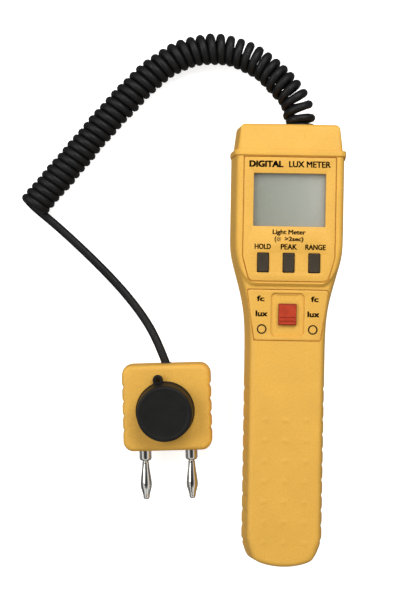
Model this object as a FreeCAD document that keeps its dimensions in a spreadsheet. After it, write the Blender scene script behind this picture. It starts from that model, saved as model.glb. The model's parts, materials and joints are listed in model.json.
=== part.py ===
import FreeCAD, Part
import math
import os

import Sketcher
from FreeCAD import Placement, Rotation, Vector

# Hand-held light meter with a separate sensor head on a curly cord, in millimetres.
# The meter lies on its back: +Y runs from the grip to the head, +Z out of the front face,
# and the origin is on the rear face, at the middle of the case's length and width.
# The sensor head lies beside the grip, and has its own local frame, turned a little.

SIZES = {
    # case
    "head_half": 23.15, "grip_half": 16.45, "head_end": 75.8, "neck_top": 36.9, "neck_foot": 14.2,
    "heel_side": -79.7, "heel_half": 14.0, "heel_start": -86.85, "heel_radius": 31.3,
    "case_split": 14.0, "grip_height": 28.0, "head_height": 29.5, "step_place": 24.8,
    "front_draft": 1.7, "rear_draft": 1.0, "wall": 2.0, "head_room": 20.2, "grip_room": 13.5,
    "room_foot": -84.4, "neck_outer_round": 27.0, "neck_inner_round": 60.0,
    "groove_depth": 0.5, "groove_radius": 1.6, "groove_pitch": 6.2, "groove_first": -17.8,
    # end cap
    "cap_foot": 78.2, "cap_end": 88.9, "cap_half": 22.4, "cap_tip_half": 21.3, "bead_half": 23.65,
    "tongue_foot": 74.6, "tongue_half": 19.9, "grommet_place": 4.6, "grommet_radius": 6.3,
    # panels and display
    "label_thick": 0.3, "label_top": 75.2, "label_half": 18.2, "label_neck": 35.4,
    "label_foot_half": 15.5, "label_foot": 26.0, "display_place": 58.3, "window_half": 14.4,
    "window_tall_half": 10.6, "cell_half": 15.8, "cell_tall_half": 11.9, "cell_low": 24.8,
    "cell_high": 27.0, "pane_low": 27.1, "pane_high": 28.3,
    # keys
    "key_place": 33.25, "key_spacing": 10.2, "key_half": 2.2, "key_tall_half": 3.75,
    "key_gap": 0.2, "key_top": 30.1, "key_travel": 0.7, "key_low": 24.9,
    # slide switch
    "well_place": 12.5, "well_half": 6.5, "well_tall_half": 8.1, "well_floor": 24.6,
    "knob_half": 3.6, "knob_tall_half": 4.1, "knob_top": 28.4, "stem_half": 1.3,
    "stem_tall_half": 0.9, "slot_half": 1.7, "slot_tall_half": 4.0,
    # board
    "board_low": 17.0, "board_high": 18.6, "board_half": 19.4, "board_top": 74.3,
    "board_neck": 39.8, "board_tail_half": 13.0, "board_foot": -4.0,
    # battery
    "battery_half": 13.1, "battery_foot": -82.9, "battery_top": -36.5, "battery_low": 2.6,
    "battery_high": 20.1, "door_half": 12.8, "door_top": -33.7, "door_low": 0.3, "door_high": 2.2,
    # case screws
    "post_side": 16.9, "post_place": 35.5, "tail_post_place": -14.0, "post_radius": 2.8,
    # sensor head
    "sensor_side": -47.8, "sensor_place": -26.3, "sensor_turn": 2.5, "sensor_half": 18.4,
    "sensor_tall_half": 17.9, "sensor_corner": 4.5, "sensor_split": 8.5, "sensor_height": 18.0,
    "sensor_room": 16.2, "sensor_post": 14.0, "eye_side": -0.6, "eye_place": -1.1,
    "collar_radius": 9.5, "cap_face_radius": 11.1, "cap_rim_radius": 11.6,
    "plug_spacing": 19.05, "plug_reach": 38.1,
    # cord
    "cord_width": 3.6, "coil_width": 13.0,
}
ROOT_POINT = (-1, 1)
LEFT_AND_RIGHT = (-1, 1)
SIDE_GROOVES = 11
SENSOR_GROOVE_PLACES = (-9.0, -3.1, 2.8, 8.7)

doc = FreeCAD.newDocument("light_meter")
sheet = doc.addObject("Spreadsheet::Sheet", "sizes")
for row, (alias, number) in enumerate(SIZES.items(), start=1):
    sheet.set("A%d" % row, alias)
    sheet.set("B%d" % row, str(number))
    sheet.setAlias("B%d" % row, alias)
doc.recompute()


class Size:
    """A length that keeps both its number and the sheet expression that gives it."""

    def __init__(self, number, text):
        self.number = number
        self.text = text

    def combined(self, other, sign, number):
        return Size(number, "(%s %s %s)" % (self.text, sign, size(other).text))

    def __add__(self, other):
        return self.combined(other, "+", self.number + size(other).number)

    def __sub__(self, other):
        return self.combined(other, "-", self.number - size(other).number)

    def __mul__(self, other):
        return self.combined(other, "*", self.number * size(other).number)

    def __truediv__(self, other):
        return self.combined(other, "/", self.number / size(other).number)

    def __radd__(self, other):
        return size(other) + self

    def __rsub__(self, other):
        return size(other) - self

    def __rmul__(self, other):
        return size(other) * self

    def __neg__(self):
        return size(0) - self


def size(item):
    """A sheet alias, a plain number or a Size, as a Size."""
    if isinstance(item, Size):
        return item
    if isinstance(item, str):
        return Size(float(sheet.get(item)), "sizes." + item)
    return Size(float(item), "(%r)" % float(item))


def bind(target, path, item):
    target.setExpression(path, size(item).text)


# ---------------------------------------------------------------- bodies and sketches

nodes = {}


def new_body(label):
    """An empty PartDesign body that will be one sub-part of that name."""
    body = doc.addObject("PartDesign::Body", label)
    body.Label = label
    body.AllowCompound = True
    nodes[label] = body
    return body


def new_sketch(body, plane, start):
    """A sketch on one of the body's own origin planes, moved along +Z, +Y or +X by start."""
    sketch = body.newObject("Sketcher::SketchObject", body.Name + "_sketch")
    origin_plane = next(item for item in body.Origin.OriginFeatures if item.Role == plane)
    sketch.AttachmentSupport = [(origin_plane, "")]
    sketch.MapMode = "FlatFace"
    offset = -size(start) if plane == "XZ_Plane" else start
    bind(sketch, "AttachmentOffset.Base.z", offset)
    return sketch


def fix_point(sketch, geometry, point, spot):
    """Hold one point of the sketch at spot, measured from the sketch's origin."""
    for direction, item in zip(("DistanceX", "DistanceY"), spot):
        item = size(item)
        rule = Sketcher.Constraint(direction, *ROOT_POINT, geometry, point, item.number)
        index = sketch.addConstraint(rule)
        bind(sketch, "Constraints[%d]" % index, item)


def draw_polygon(sketch, spots, arc=None):
    """A closed outline through spots; arc, if given, is the radius of its first side."""
    first = sketch.GeometryCount
    corners = [Vector(size(x).number, size(y).number, 0) for x, y in spots]
    ends = corners[1:] + corners[:1]
    for index, (here, there) in enumerate(zip(corners, ends)):
        if arc is not None and index == 0:
            half_chord = (there - here).Length / 2
            rise = arc.number - math.sqrt(arc.number ** 2 - half_chord ** 2)
            middle = (here + there) / 2 - Vector(0, rise, 0)
            sketch.addGeometry(Part.Arc(here, middle, there), False)
            index_of_radius = sketch.addConstraint(Sketcher.Constraint("Radius", first, arc.number))
            bind(sketch, "Constraints[%d]" % index_of_radius, arc)
        else:
            sketch.addGeometry(Part.LineSegment(here, there), False)
    count = len(spots)
    for index, spot in enumerate(spots):
        previous = first + (index - 1) % count
        sketch.addConstraint(Sketcher.Constraint("Coincident", previous, 2, first + index, 1))
        fix_point(sketch, first + index, 1, spot)


def draw_circle(sketch, x, y, radius):
    radius = size(radius)
    centre = Vector(size(x).number, size(y).number, 0)
    index = sketch.addGeometry(Part.Circle(centre, Vector(0, 0, 1), radius.number), False)
    fix_point(sketch, index, 3, (x, y))
    rule = sketch.addConstraint(Sketcher.Constraint("Radius", index, radius.number))
    bind(sketch, "Constraints[%d]" % rule, radius)


def rectangle(x, y, half_x, half_y):
    """The corners of a rectangle about (x, y), counter-clockwise from its lower left."""
    x, y, half_x, half_y = size(x), size(y), size(half_x), size(half_y)
    low, high = y - half_y, y + half_y
    return [(x - half_x, low), (x + half_x, low), (x + half_x, high), (x - half_x, high)]


def mirrored(right_side):
    """A closed outline from its right half, listed upwards, and the same points on the left."""
    left_side = [(-size(x), y) for x, y in reversed(right_side)]
    return left_side[-1:] + right_side + left_side[:-1]


def volume(body):
    return body.Shape.Volume if body.Tip and not body.Shape.isNull() else 0.0


def finish_feature(body, feature, before, grows):
    """Recompute, and stop if the feature failed or moved the volume the wrong way."""
    doc.recompute()
    change = volume(body) - before
    if "Invalid" in feature.State or "Error" in feature.State or change * grows <= 0:
        raise RuntimeError("%s in %s changed nothing: %r" % (feature.Name, body.Label, change))
    return feature


def extrude(body, plane, start, length, polygons=(), circles=(), cut=False, arc=None,
            draft=None, backwards=False):
    """Pad or pocket outlines from start towards the plane's positive axis, over length.

    draft is how far the far end is drawn in; backwards runs towards the negative axis.
    """
    before = volume(body)
    sketch = new_sketch(body, plane, start)
    for spots in polygons:
        draw_polygon(sketch, spots, arc)
    for x, y, radius in circles:
        draw_circle(sketch, x, y, radius)
    kind = "Pocket" if cut else "Pad"
    feature = body.newObject("PartDesign::" + kind, body.Name + "_" + kind.lower())
    feature.Profile = sketch
    bind(feature, "Length", length)
    if draft is not None:
        feature.setExpression("TaperAngle", "-atan(%s / %s)" % (size(draft).text, size(length).text))
    feature.Reversed = (cut != (plane == "XZ_Plane")) != backwards
    return finish_feature(body, feature, before, -1 if cut else 1)


def turn(body, spots, plane="XZ_Plane"):
    """Revolve a half profile of (radius, place along the axis) about the sketch's upright."""
    before = volume(body)
    sketch = new_sketch(body, plane, 0)
    draw_polygon(sketch, spots)
    feature = body.newObject("PartDesign::Revolution", body.Name + "_revolution")
    feature.Profile = sketch
    feature.ReferenceAxis = (sketch, ["V_Axis"])
    feature.Angle = 360
    return finish_feature(body, feature, before, 1)


def round_edges(body, wanted, radius):
    """Fillet the edges of the body's tip whose middle point and direction satisfy wanted."""
    base = body.Tip
    names = []
    for index, edge in enumerate(base.Shape.Edges, start=1):
        middle = edge.valueAt((edge.FirstParameter + edge.LastParameter) / 2)
        run = (edge.Vertexes[-1].Point - edge.Vertexes[0].Point)
        if wanted(middle, run):
            names.append("Edge%d" % index)
    if not names:
        raise RuntimeError("no edge to round in " + body.Label)
    feature = body.newObject("PartDesign::Fillet", body.Name + "_fillet")
    feature.Base = (base, names)
    bind(feature, "Radius", radius)
    doc.recompute()
    if "Invalid" in feature.State or feature.Shape.isNull() or not feature.Shape.isValid():
        raise RuntimeError("the fillet failed in " + body.Label)
    return feature


def upright(run):
    return abs(run.z) > 0.9 * run.Length > 0


def place_body(label, x=0, y=0, z=0):
    """Move a sub-part that was drawn on its own axis to where it sits."""
    body = nodes[label]
    for axis, item in zip("xyz", (x, y, z)):
        bind(body, "Placement.Base." + axis, item)


# ---------------------------------------------------------------- case

def case_outline():
    """The case in plan at the parting plane; the heel's arc is its first side.

    It runs past the head's end, which is then cut square.
    """
    return mirrored([
        ("heel_half", "heel_start"),
        ("grip_half", "heel_side"),
        ("grip_half", "neck_foot"),
        ("head_half", "neck_top"),
        ("head_half", size("head_end") + 4.0),
    ])


def slant_half(place, inset):
    """Half the case's width at a place on the neck, drawn in by inset."""
    slope = (size("head_half") - "grip_half") / (size("neck_top") - "neck_foot")
    return size("head_half") - inset - slope * (size("neck_top") - place)


def room_outline(head_half):
    """The hollow inside either shell: open at the head's end, closed at the heel."""
    return mirrored([
        (size("grip_room") - 1.2, size("room_foot")),
        (size("grip_room"), size("room_foot") + 2.0),
        (size("grip_room"), size("neck_foot") - 0.6),
        (size(head_half), size("neck_top") - 0.6),
        (size(head_half), size("head_end") + 5.0),
    ])


def case_block(label, height, draft, downwards):
    """One half of the case as a drafted solid, with its neck blended into head and grip."""
    body = new_body(label)
    extrude(body, "XY_Plane", "case_split", height, [case_outline()], arc=size("heel_radius"),
            draft=draft, backwards=downwards)
    for place, radius in (("neck_top", "neck_outer_round"), ("neck_foot", "neck_inner_round"),
                          ("heel_side", size(5.0))):
        place = size(place).number
        round_edges(body, lambda middle, run: upright(run) and abs(middle.y - place) < 2, radius)
    extrude(body, "XY_Plane", -5.0, 50.0,
            [mirrored([(30.0, "head_end"), (30.0, size("head_end") + 10.0)])], cut=True)
    return body


def side_grooves(body, start, length):
    """A row of finger grooves down each side of the grip."""
    reach = size("grip_half") + size("groove_radius") - size("groove_depth")
    circles = [(side * reach, size("groove_first") - number * size("groove_pitch"), "groove_radius")
               for side in LEFT_AND_RIGHT for number in range(SIDE_GROOVES)]
    extrude(body, "XY_Plane", start, length, circles=circles, cut=True)


def label_outline(grow):
    """The display panel's outline, grown by a small gap for its recess."""
    grow = size(grow)
    return mirrored([
        (size("label_foot_half") + grow, size("label_foot") - grow),
        (size("label_half") + grow, size("label_neck")),
        (size("label_half") + grow, size("label_top") + grow),
    ])


def switch_label_outline(grow):
    grow = size(grow)
    return mirrored([(13.1 + grow, 2.4 - grow), (16.1 + grow, 22.4 + grow)])


def key_rectangles(grow):
    return [rectangle(side * size("key_spacing"), "key_place",
                      size("key_half") + grow, size("key_tall_half") + grow) for side in (-1, 0, 1)]


def make_front_shell():
    body = case_block("front_shell", size("grip_height") - "case_split", "front_draft", False)
    face_inset = size("front_draft")
    head_rise = size("head_height") - "grip_height"
    # the head stands a step above the grip
    extrude(body, "XY_Plane", "grip_height", head_rise, [mirrored([
        (slant_half("step_place", face_inset), size("step_place")),
        (size("head_half") - face_inset, size("neck_top")),
        (size("head_half") - face_inset, size("head_end")),
    ])])
    side_grooves(body, "case_split", size("grip_height") - "case_split")
    # hollow: a lower ceiling over the grip, a higher one under the head
    grip_ceiling = size("grip_height") - "wall"
    head_ceiling = size("head_height") - "wall"
    extrude(body, "XY_Plane", "case_split", grip_ceiling - "case_split",
            [room_outline("head_room")], cut=True)
    extrude(body, "XY_Plane", grip_ceiling, head_ceiling - grip_ceiling, [mirrored([
        (17.0, 27.5),
        (size("head_room"), size("neck_top") - 0.6),
        (size("head_room"), size("head_end") + 5.0),
    ])], cut=True)
    # posts for the board and for the case screws
    board_spots = board_screw_spots()
    extrude(body, "XY_Plane", "board_high", head_ceiling - "board_high" + 0.5,
            circles=[(x, y, 1.8) for x, y in board_spots])
    extrude(body, "XY_Plane", "case_split", head_ceiling + 0.2 - "case_split",
            circles=[(x, y, size("post_radius") - 0.2) for x, y in case_screw_spots()])
    extrude(body, "XY_Plane", "board_high", 5.4,
            circles=[(x, y, 0.85) for x, y in board_spots], cut=True)
    extrude(body, "XY_Plane", "case_split", 8.0,
            circles=[(x, y, 0.95) for x, y in case_screw_spots()], cut=True)
    # the display's opening, with a rebate behind it for the pane
    display = ("display_place", "window_half", "window_tall_half")
    rebate = rectangle(0, "display_place", size("cell_half") + 0.1, size("cell_tall_half") + 0.1)
    extrude(body, "XY_Plane", size("pane_low"), size("pane_high") - "pane_low" + 0.05,
            [rebate], cut=True)
    extrude(body, "XY_Plane", "pane_low", 3.0, [rectangle(0, *display)], cut=True)
    # recesses for the two panels, and the keys' holes
    extrude(body, "XY_Plane", size("head_height") - "label_thick", 1.0,
            [label_outline(0.1)], cut=True)
    extrude(body, "XY_Plane", "pane_low", 3.0, key_rectangles("key_gap"), cut=True)
    extrude(body, "XY_Plane", size("grip_height") - "label_thick", 1.0,
            [switch_label_outline(0.1)], cut=True)
    # the switch's well, with a slot in its floor for the knob's stem
    extrude(body, "XY_Plane", "well_floor", 2.0,
            [rectangle(0, "well_place", size("well_half") + 1.8, size("well_tall_half") + 1.8)])
    extrude(body, "XY_Plane", size("well_floor") - 2.0, 2.0,
            [rectangle(0, "well_place", size("well_half") + 1.8, size("well_tall_half") + 1.8)])
    extrude(body, "XY_Plane", "well_floor", 4.0,
            [rectangle(0, "well_place", "well_half", "well_tall_half")], cut=True)
    extrude(body, "XY_Plane", size("well_floor") - 2.5, 3.0,
            [rectangle(0, "well_place", "slot_half", "slot_tall_half")], cut=True)


def board_screw_spots():
    spots = [(side * 18.0, 72.6) for side in LEFT_AND_RIGHT]
    return spots + [(side * 17.4, 41.8) for side in LEFT_AND_RIGHT]


def case_screw_spots():
    spots = [(side * size("post_side"), size("post_place")) for side in LEFT_AND_RIGHT]
    return spots + [(size(0), size("tail_post_place"))]


def make_rear_shell():
    body = case_block("rear_shell", size("case_split"), "rear_draft", True)
    side_grooves(body, 0, "case_split")
    extrude(body, "XY_Plane", "wall", size("case_split") - "wall",
            [room_outline("head_room")], cut=True)
    # battery door: an opening through the heel, with a wider groove above its lips
    opening_top = size("door_top") + 0.3
    for half, low, high in ((13.1, 0, 2.5), (14.3, 1.1, 2.5)):
        extrude(body, "XY_Plane", low, high - low,
                [mirrored([(half, -95.0), (half, opening_top)])], cut=True)
    # a rib closes the battery bay
    extrude(body, "XY_Plane", "wall", size("case_split") - "wall" - 0.5,
            [mirrored([(size("grip_room") + 0.3, -30.95), (size("grip_room") + 0.3, -29.55)])])
    extrude(body, "XY_Plane", "wall", size("case_split") - "wall",
            circles=[(x, y, "post_radius") for x, y in case_screw_spots()])
    extrude(body, "XY_Plane", 0, 7.0,
            circles=[(x, y, 2.2) for x, y in case_screw_spots()], cut=True)
    extrude(body, "XY_Plane", 0, "case_split",
            circles=[(x, y, 1.3) for x, y in case_screw_spots()], cut=True)


def make_case_screws():
    body = new_body("case_screws")
    extrude(body, "XY_Plane", 5.2, 1.8, circles=[(x, y, 2.0) for x, y in case_screw_spots()])
    extrude(body, "XY_Plane", 7.0, 14.0, circles=[(x, y, 0.93) for x, y in case_screw_spots()])
    extrude(body, "XY_Plane", 5.2, 0.9,
            [rectangle(x, y, 1.3, 0.25) for x, y in case_screw_spots()], cut=True)


def end_section(half, low, high, shoulder):
    """A six-sided cross-section of the case's end, in X and Z, widest at the parting plane."""
    return mirrored([
        (size(half) - 0.9, size(low)),
        (size(half), size("case_split")),
        (size(half) - shoulder, size(high)),
    ])


def make_end_cap():
    body = new_body("end_cap")
    extrude(body, "XZ_Plane", "cap_foot", size("cap_end") - "cap_foot",
            [end_section("cap_half", 0.7, 28.9, 1.6)], draft=size("cap_half") - "cap_tip_half")
    cap_end = size("cap_end").number
    round_edges(body, lambda middle, run: abs(run.y) > 0.9 * run.Length and abs(middle.z - 14) > 5,
                2.5)
    round_edges(body, lambda middle, run: abs(middle.y - cap_end) < 0.1, 1.8)
    extrude(body, "XZ_Plane", "head_end", size("cap_foot") - "head_end",
            [end_section("bead_half", 0, 30.2, 1.5)])
    extrude(body, "XZ_Plane", "tongue_foot", size("head_end") - "tongue_foot",
            [mirrored([(size("tongue_half"), 2.3), (size("tongue_half"), 27.2)])])
    extrude(body, "XZ_Plane", size("tongue_foot") - 1.0, size("cap_end") - 2.0 - "tongue_foot" + 1.0,
            [mirrored([(size("tongue_half") - 1.6, 3.9), (size("tongue_half") - 1.6, 25.6)])],
            cut=True)
    extrude(body, "XZ_Plane", size("cap_end") - 5.3, 10.0,
            circles=[("grommet_place", "case_split", 4.6)], cut=True)


def make_cord_grommet():
    body = new_body("cord_grommet")
    flange_foot = size("cap_end") + 0.05
    flange_top = flange_foot + 1.55
    shoulder = size("cap_end") - 2.1
    turn(body, [
        (1.9, shoulder - 2.4), (5.2, shoulder - 2.4), (5.2, shoulder), (4.4, shoulder),
        (4.4, flange_foot), ("grommet_radius", flange_foot),
        (size("grommet_radius") - 0.3, flange_top), (1.9, flange_top),
    ], plane="XY_Plane")
    place_body("cord_grommet", x="grommet_place", z="case_split")


# ---------------------------------------------------------------- panels, display and keys

def make_panels():
    body = new_body("display_label")
    low = size("head_height") - "label_thick"
    extrude(body, "XY_Plane", low, "label_thick", [label_outline(0)])
    extrude(body, "XY_Plane", low, 1.0,
            [rectangle(0, "display_place", "window_half", "window_tall_half")], cut=True)
    extrude(body, "XY_Plane", low, 1.0, key_rectangles("key_gap"), cut=True)
    body = new_body("switch_label")
    low = size("grip_height") - "label_thick"
    extrude(body, "XY_Plane", low, "label_thick", [switch_label_outline(0)])
    extrude(body, "XY_Plane", low, 1.0,
            [rectangle(0, "well_place", "well_half", "well_tall_half")], cut=True)


def make_display():
    def slab(label, shrink, low, high):
        half = size("cell_half") - shrink
        tall_half = size("cell_tall_half") - shrink
        body = new_body(label)
        extrude(body, "XY_Plane", low, size(high) - low,
                [rectangle(0, "display_place", half, tall_half)])

    slab("lcd_window", 0.1, "pane_low", "pane_high")
    slab("lcd_glass", 0.0, "cell_low", "cell_high")
    body = new_body("lcd_frame")
    extrude(body, "XY_Plane", "board_high", size("cell_high") - "board_high",
            [rectangle(0, "display_place", 16.9, 12.8)])
    extrude(body, "XY_Plane", "board_high", 10.0, [rectangle(
        0, "display_place", size("cell_half") + 0.1, size("cell_tall_half") + 0.1)], cut=True)
    body = new_body("contact_strips")
    strips = [rectangle(0, size("display_place") + side * 10.6, 14.5, 1.1) for side in LEFT_AND_RIGHT]
    extrude(body, "XY_Plane", "board_high", size("cell_low") - "board_high", strips)


def make_keys():
    """Three keys, each a cap with a wide foot that keeps it behind the panel."""
    for label, side in (("button_hold", -1), ("button_peak", 0), ("button_range", 1)):
        body = new_body(label)
        x = side * size("key_spacing")
        extrude(body, "XY_Plane", "key_low", size("key_top") - "key_low",
                [rectangle(x, "key_place", "key_half", "key_tall_half")])
        extrude(body, "XY_Plane", "key_low", 1.2, [rectangle(
            x, "key_place", size("key_half") + 1.0, size("key_tall_half") + 0.9)])
        key_top = size("key_top").number
        round_edges(body, lambda middle, run: middle.z > key_top - 0.01, 0.3)


def make_switch_knob():
    body = new_body("switch_knob")
    foot = size("well_floor") + 0.3
    extrude(body, "XY_Plane", foot, size("knob_top") - foot,
            [rectangle(0, "well_place", "knob_half", "knob_tall_half")])
    knob_top = size("knob_top").number
    round_edges(body, lambda middle, run: middle.z > knob_top - 0.01, 0.4)
    stem = rectangle(0, "well_place", "stem_half", "stem_tall_half")
    extrude(body, "XY_Plane", 20.2, foot - 20.2, [stem])


# ---------------------------------------------------------------- electronics

def make_board():
    body = new_body("main_board")
    thickness = size("board_high") - "board_low"
    extrude(body, "XY_Plane", "board_low", thickness, [mirrored([
        (size("board_tail_half"), size("board_foot")),
        (size("board_tail_half"), size("board_neck")),
        (size("board_half"), size("board_neck")),
        (size("board_half"), size("board_top")),
    ])])
    screw_spots = board_screw_spots()
    extrude(body, "XY_Plane", "board_low", 2.0,
            circles=[(x, y, 1.1) for x, y in screw_spots], cut=True)
    body = new_body("board_screws")
    extrude(body, "XY_Plane", size("board_low") - 1.4, 1.4,
            circles=[(x, y, 1.5) for x, y in screw_spots])
    extrude(body, "XY_Plane", "board_low", 6.6, circles=[(x, y, 0.83) for x, y in screw_spots])


def make_board_parts():
    """Parts soldered to the board: the chip hangs below it, the rest stands above or below."""
    under = size("board_low")
    body = new_body("meter_chip")
    extrude(body, "XY_Plane", under - 2.2, 2.2, [rectangle(0, 57.0, 7.0, 7.0)])
    body = new_body("trimmers")
    extrude(body, "XY_Plane", under - 4.6, 4.6,
            [rectangle(side * 12.0, 62.0, 3.3, 3.3) for side in LEFT_AND_RIGHT])
    extrude(body, "XY_Plane", under - 5.0, 0.4,
            circles=[(side * 12.0, 62.0, 1.4) for side in LEFT_AND_RIGHT])
    body = new_body("capacitors")
    extrude(body, "XY_Plane", under - 7.0, 7.0,
            circles=[(-6.0, 24.0, 2.5), (6.5, 27.0, 3.1), (0.5, 35.0, 2.0)])
    body = new_body("lead_connector")
    extrude(body, "XY_Plane", 11.0, under - 11.0, [rectangle("grommet_place", 68.4, 4.0, 2.6)])
    body = new_body("tact_switches")
    spots = [(side * size("key_spacing"), size("key_place")) for side in (-1, 0, 1)]
    extrude(body, "XY_Plane", "board_high", 3.5, [rectangle(x, y, 3.0, 3.0) for x, y in spots])
    plunger_top = size("key_low") - "key_travel" - 0.25
    extrude(body, "XY_Plane", size("board_high") + 3.5, plunger_top - "board_high" - 3.5,
            circles=[(x, y, 1.7) for x, y in spots])
    body = new_body("slide_switch")
    extrude(body, "XY_Plane", "board_high", 3.4, [rectangle(0, "well_place", 3.5, 7.2)])
    extrude(body, "XY_Plane", size("board_high") + 1.2, 3.0,
            [rectangle(0, "well_place", 1.7, 5.7)], cut=True)


# ---------------------------------------------------------------- battery

def make_battery():
    body = new_body("battery")
    height = size("battery_high") - "battery_low"
    middle = (size("battery_high") + "battery_low") / 2
    extrude(body, "XY_Plane", "battery_low", height,
            [mirrored([(size("battery_half"), size("battery_foot")),
                       (size("battery_half"), size("battery_top"))])])
    round_edges(body, lambda spot, run: abs(run.y) > 0.9 * run.Length, 1.5)
    for side, radius in ((-1, 2.9), (1, 3.6)):
        extrude(body, "XZ_Plane", "battery_top", 2.1, circles=[(side * 6.35, middle, radius)])
    body = new_body("battery_snap")
    extrude(body, "XZ_Plane", size("battery_top") + 2.15, 2.9,
            [mirrored([(12.5, middle - 6.0), (12.5, middle + 6.0)])])
    body = new_body("battery_foam")
    ceiling = size("grip_height") - "wall"
    extrude(body, "XY_Plane", size("battery_high") + 0.05, ceiling - "battery_high" - 0.1,
            [mirrored([(11.0, -80.0), (11.0, -45.0)])])
    body = new_body("battery_door")
    door_half = size("door_half")
    end_radius = size("heel_radius") - 1.3
    extrude(body, "XY_Plane", "door_low", size("door_high") - "door_low",
            [mirrored([(door_half, -85.75), (door_half, "door_top")])], arc=end_radius)
    tongue_low = size("door_low") + 1.1
    extrude(body, "XY_Plane", tongue_low, size("door_high") - tongue_low,
            [mirrored([(door_half + 1.2, -84.15), (door_half + 1.2, "door_top")])])
    # finger ridges near the door's upper end
    extrude(body, "XY_Plane", "door_low", 0.4,
            [rectangle(0, -40.0 - 2.2 * number, 6.0, 0.5) for number in range(4)], cut=True)


# ---------------------------------------------------------------- cords and wires

def tube(spots, width):
    """A round tube along straight runs joined by tangent arcs; returns its shape and radii.

    Each arc's radius is 0.45 of the shorter run beside it, over the tangent of half the turn.
    """
    spots = [Vector(*spot) for spot in spots]
    edges, radii = [], []
    here = spots[0]
    for before, corner, after in zip(spots, spots[1:], spots[2:]):
        arriving = (corner - before).normalize()
        leaving = (after - corner).normalize()
        half_turn = arriving.getAngle(leaving) / 2
        reach = 0.45 * min((corner - before).Length, (after - corner).Length)
        radius = reach / math.tan(half_turn)
        start, end = corner - arriving * reach, corner + leaving * reach
        inward = (leaving - arriving).normalize()
        crown = corner + inward * (radius / math.cos(half_turn) - radius)
        edges.append(Part.LineSegment(here, start).toShape())
        edges.append(Part.Arc(start, crown, end).toShape())
        radii.append(radius)
        here = end
    edges.append(Part.LineSegment(here, spots[-1]).toShape())
    path = Part.Wire(edges)
    start_direction = (spots[1] - spots[0]).normalize()
    section = Part.Wire(Part.makeCircle(width / 2, spots[0], start_direction))
    shape = path.makePipeShell([section], True, False)
    expected = math.pi * (width / 2) ** 2 * path.Length
    if abs(shape.Volume / expected - 1) > 0.01:
        raise RuntimeError("a tube's volume is %g, not %g" % (shape.Volume, expected))
    return shape, radii, path.Length


def add_tube(label, routes, width):
    """One sub-part of one or more tubes, each along its own route."""
    shapes = []
    for spots in routes:
        shape, radii, length = tube(spots, width)
        shapes.append(shape)
        print(label, "length %.1f, radii" % length, ", ".join("%.1f" % radius for radius in radii))
    feature = doc.addObject("Part::Feature", label)
    feature.Label = label
    feature.Shape = shapes[0] if len(shapes) == 1 else Part.makeCompound(shapes)
    nodes[label] = feature
    return feature


COIL_ROUTE = [
    (4.6, 90.55, 14.0), (4.6, 98.4, 14.0), (0.5, 108.3, 12.4), (-12.4, 117.9, 8.8),
    (-30.3, 123.6, 6.9), (-51.1, 117.7, 6.7), (-74.4, 92.9, 6.7), (-89.2, 74.3, 6.7),
    (-103.7, 57.15, 6.7),
]
TAIL_ROUTE = [
    (-108.1, 57.3, 1.95), (-93.4, 46.2, 1.95), (-79.0, 33.1, 1.95), (-67.6, 21.6, 1.95),
    (-58.9, 11.1, 3.2), (-52.6, 1.2, 7.4), (-48.88, -7.47, 8.5),
]


def make_cord():
    add_tube("cord_coil", [COIL_ROUTE], size("coil_width").number)
    add_tube("cord_tail", [TAIL_ROUTE], size("cord_width").number)


def make_inner_leads():
    """The cord's end inside the cap, its clamp, and the battery's two leads."""
    x = size("grommet_place")
    body = new_body("inner_lead")
    extrude(body, "XZ_Plane", 71.1, size("cap_end") + 1.6 - 71.1, circles=[(x, "case_split", 1.8)])
    body = new_body("cord_clamp")
    extrude(body, "XZ_Plane", 79.1, 4.0, [rectangle(x, "case_split", 5.0, 4.0)])
    extrude(body, "XZ_Plane", 78.6, 5.0, circles=[(x, "case_split", 1.9)], cut=True)
    routes = [[(side * 3.5, -31.3, 15.0), (side * 4.5, -24.6, 15.2), (side * 7.0, -17.0, 15.6),
               (side * 7.2, -8.0, 16.0), (side * 6.6, -2.0, 16.1)] for side in LEFT_AND_RIGHT]
    add_tube("battery_leads", routes, 1.4)


# ---------------------------------------------------------------- sensor head

def sensor_block(label, low, high):
    """A square block with round upright corners and shallow grooves in its two sides."""
    body = new_body(label)
    half = size("sensor_half")
    extrude(body, "XY_Plane", low, size(high) - low, [rectangle(0, 0, half, "sensor_tall_half")])
    round_edges(body, lambda middle, run: upright(run), "sensor_corner")
    reach = half + 1.2 - 0.45
    circles = [(side * reach, place, 1.2) for side in LEFT_AND_RIGHT for place in SENSOR_GROOVE_PLACES]
    extrude(body, "XY_Plane", low, size(high) - low, circles=circles, cut=True)
    return body


def sensor_post_spots():
    post = size("sensor_post")
    return [(x * post, y * (post - 0.5)) for x in LEFT_AND_RIGHT for y in LEFT_AND_RIGHT]


def sensor_side_holes(body):
    """The cord's hole in one side and the plugs' holes in the other, shared by both shells."""
    split = size("sensor_split")
    plug_x = size("plug_spacing") / 2
    extrude(body, "XZ_Plane", 15.0, 5.0, circles=[(0, split, 2.3)], cut=True)
    extrude(body, "XZ_Plane", -20.0, 5.0,
            circles=[(side * plug_x, split, 1.6) for side in LEFT_AND_RIGHT], cut=True)


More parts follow.
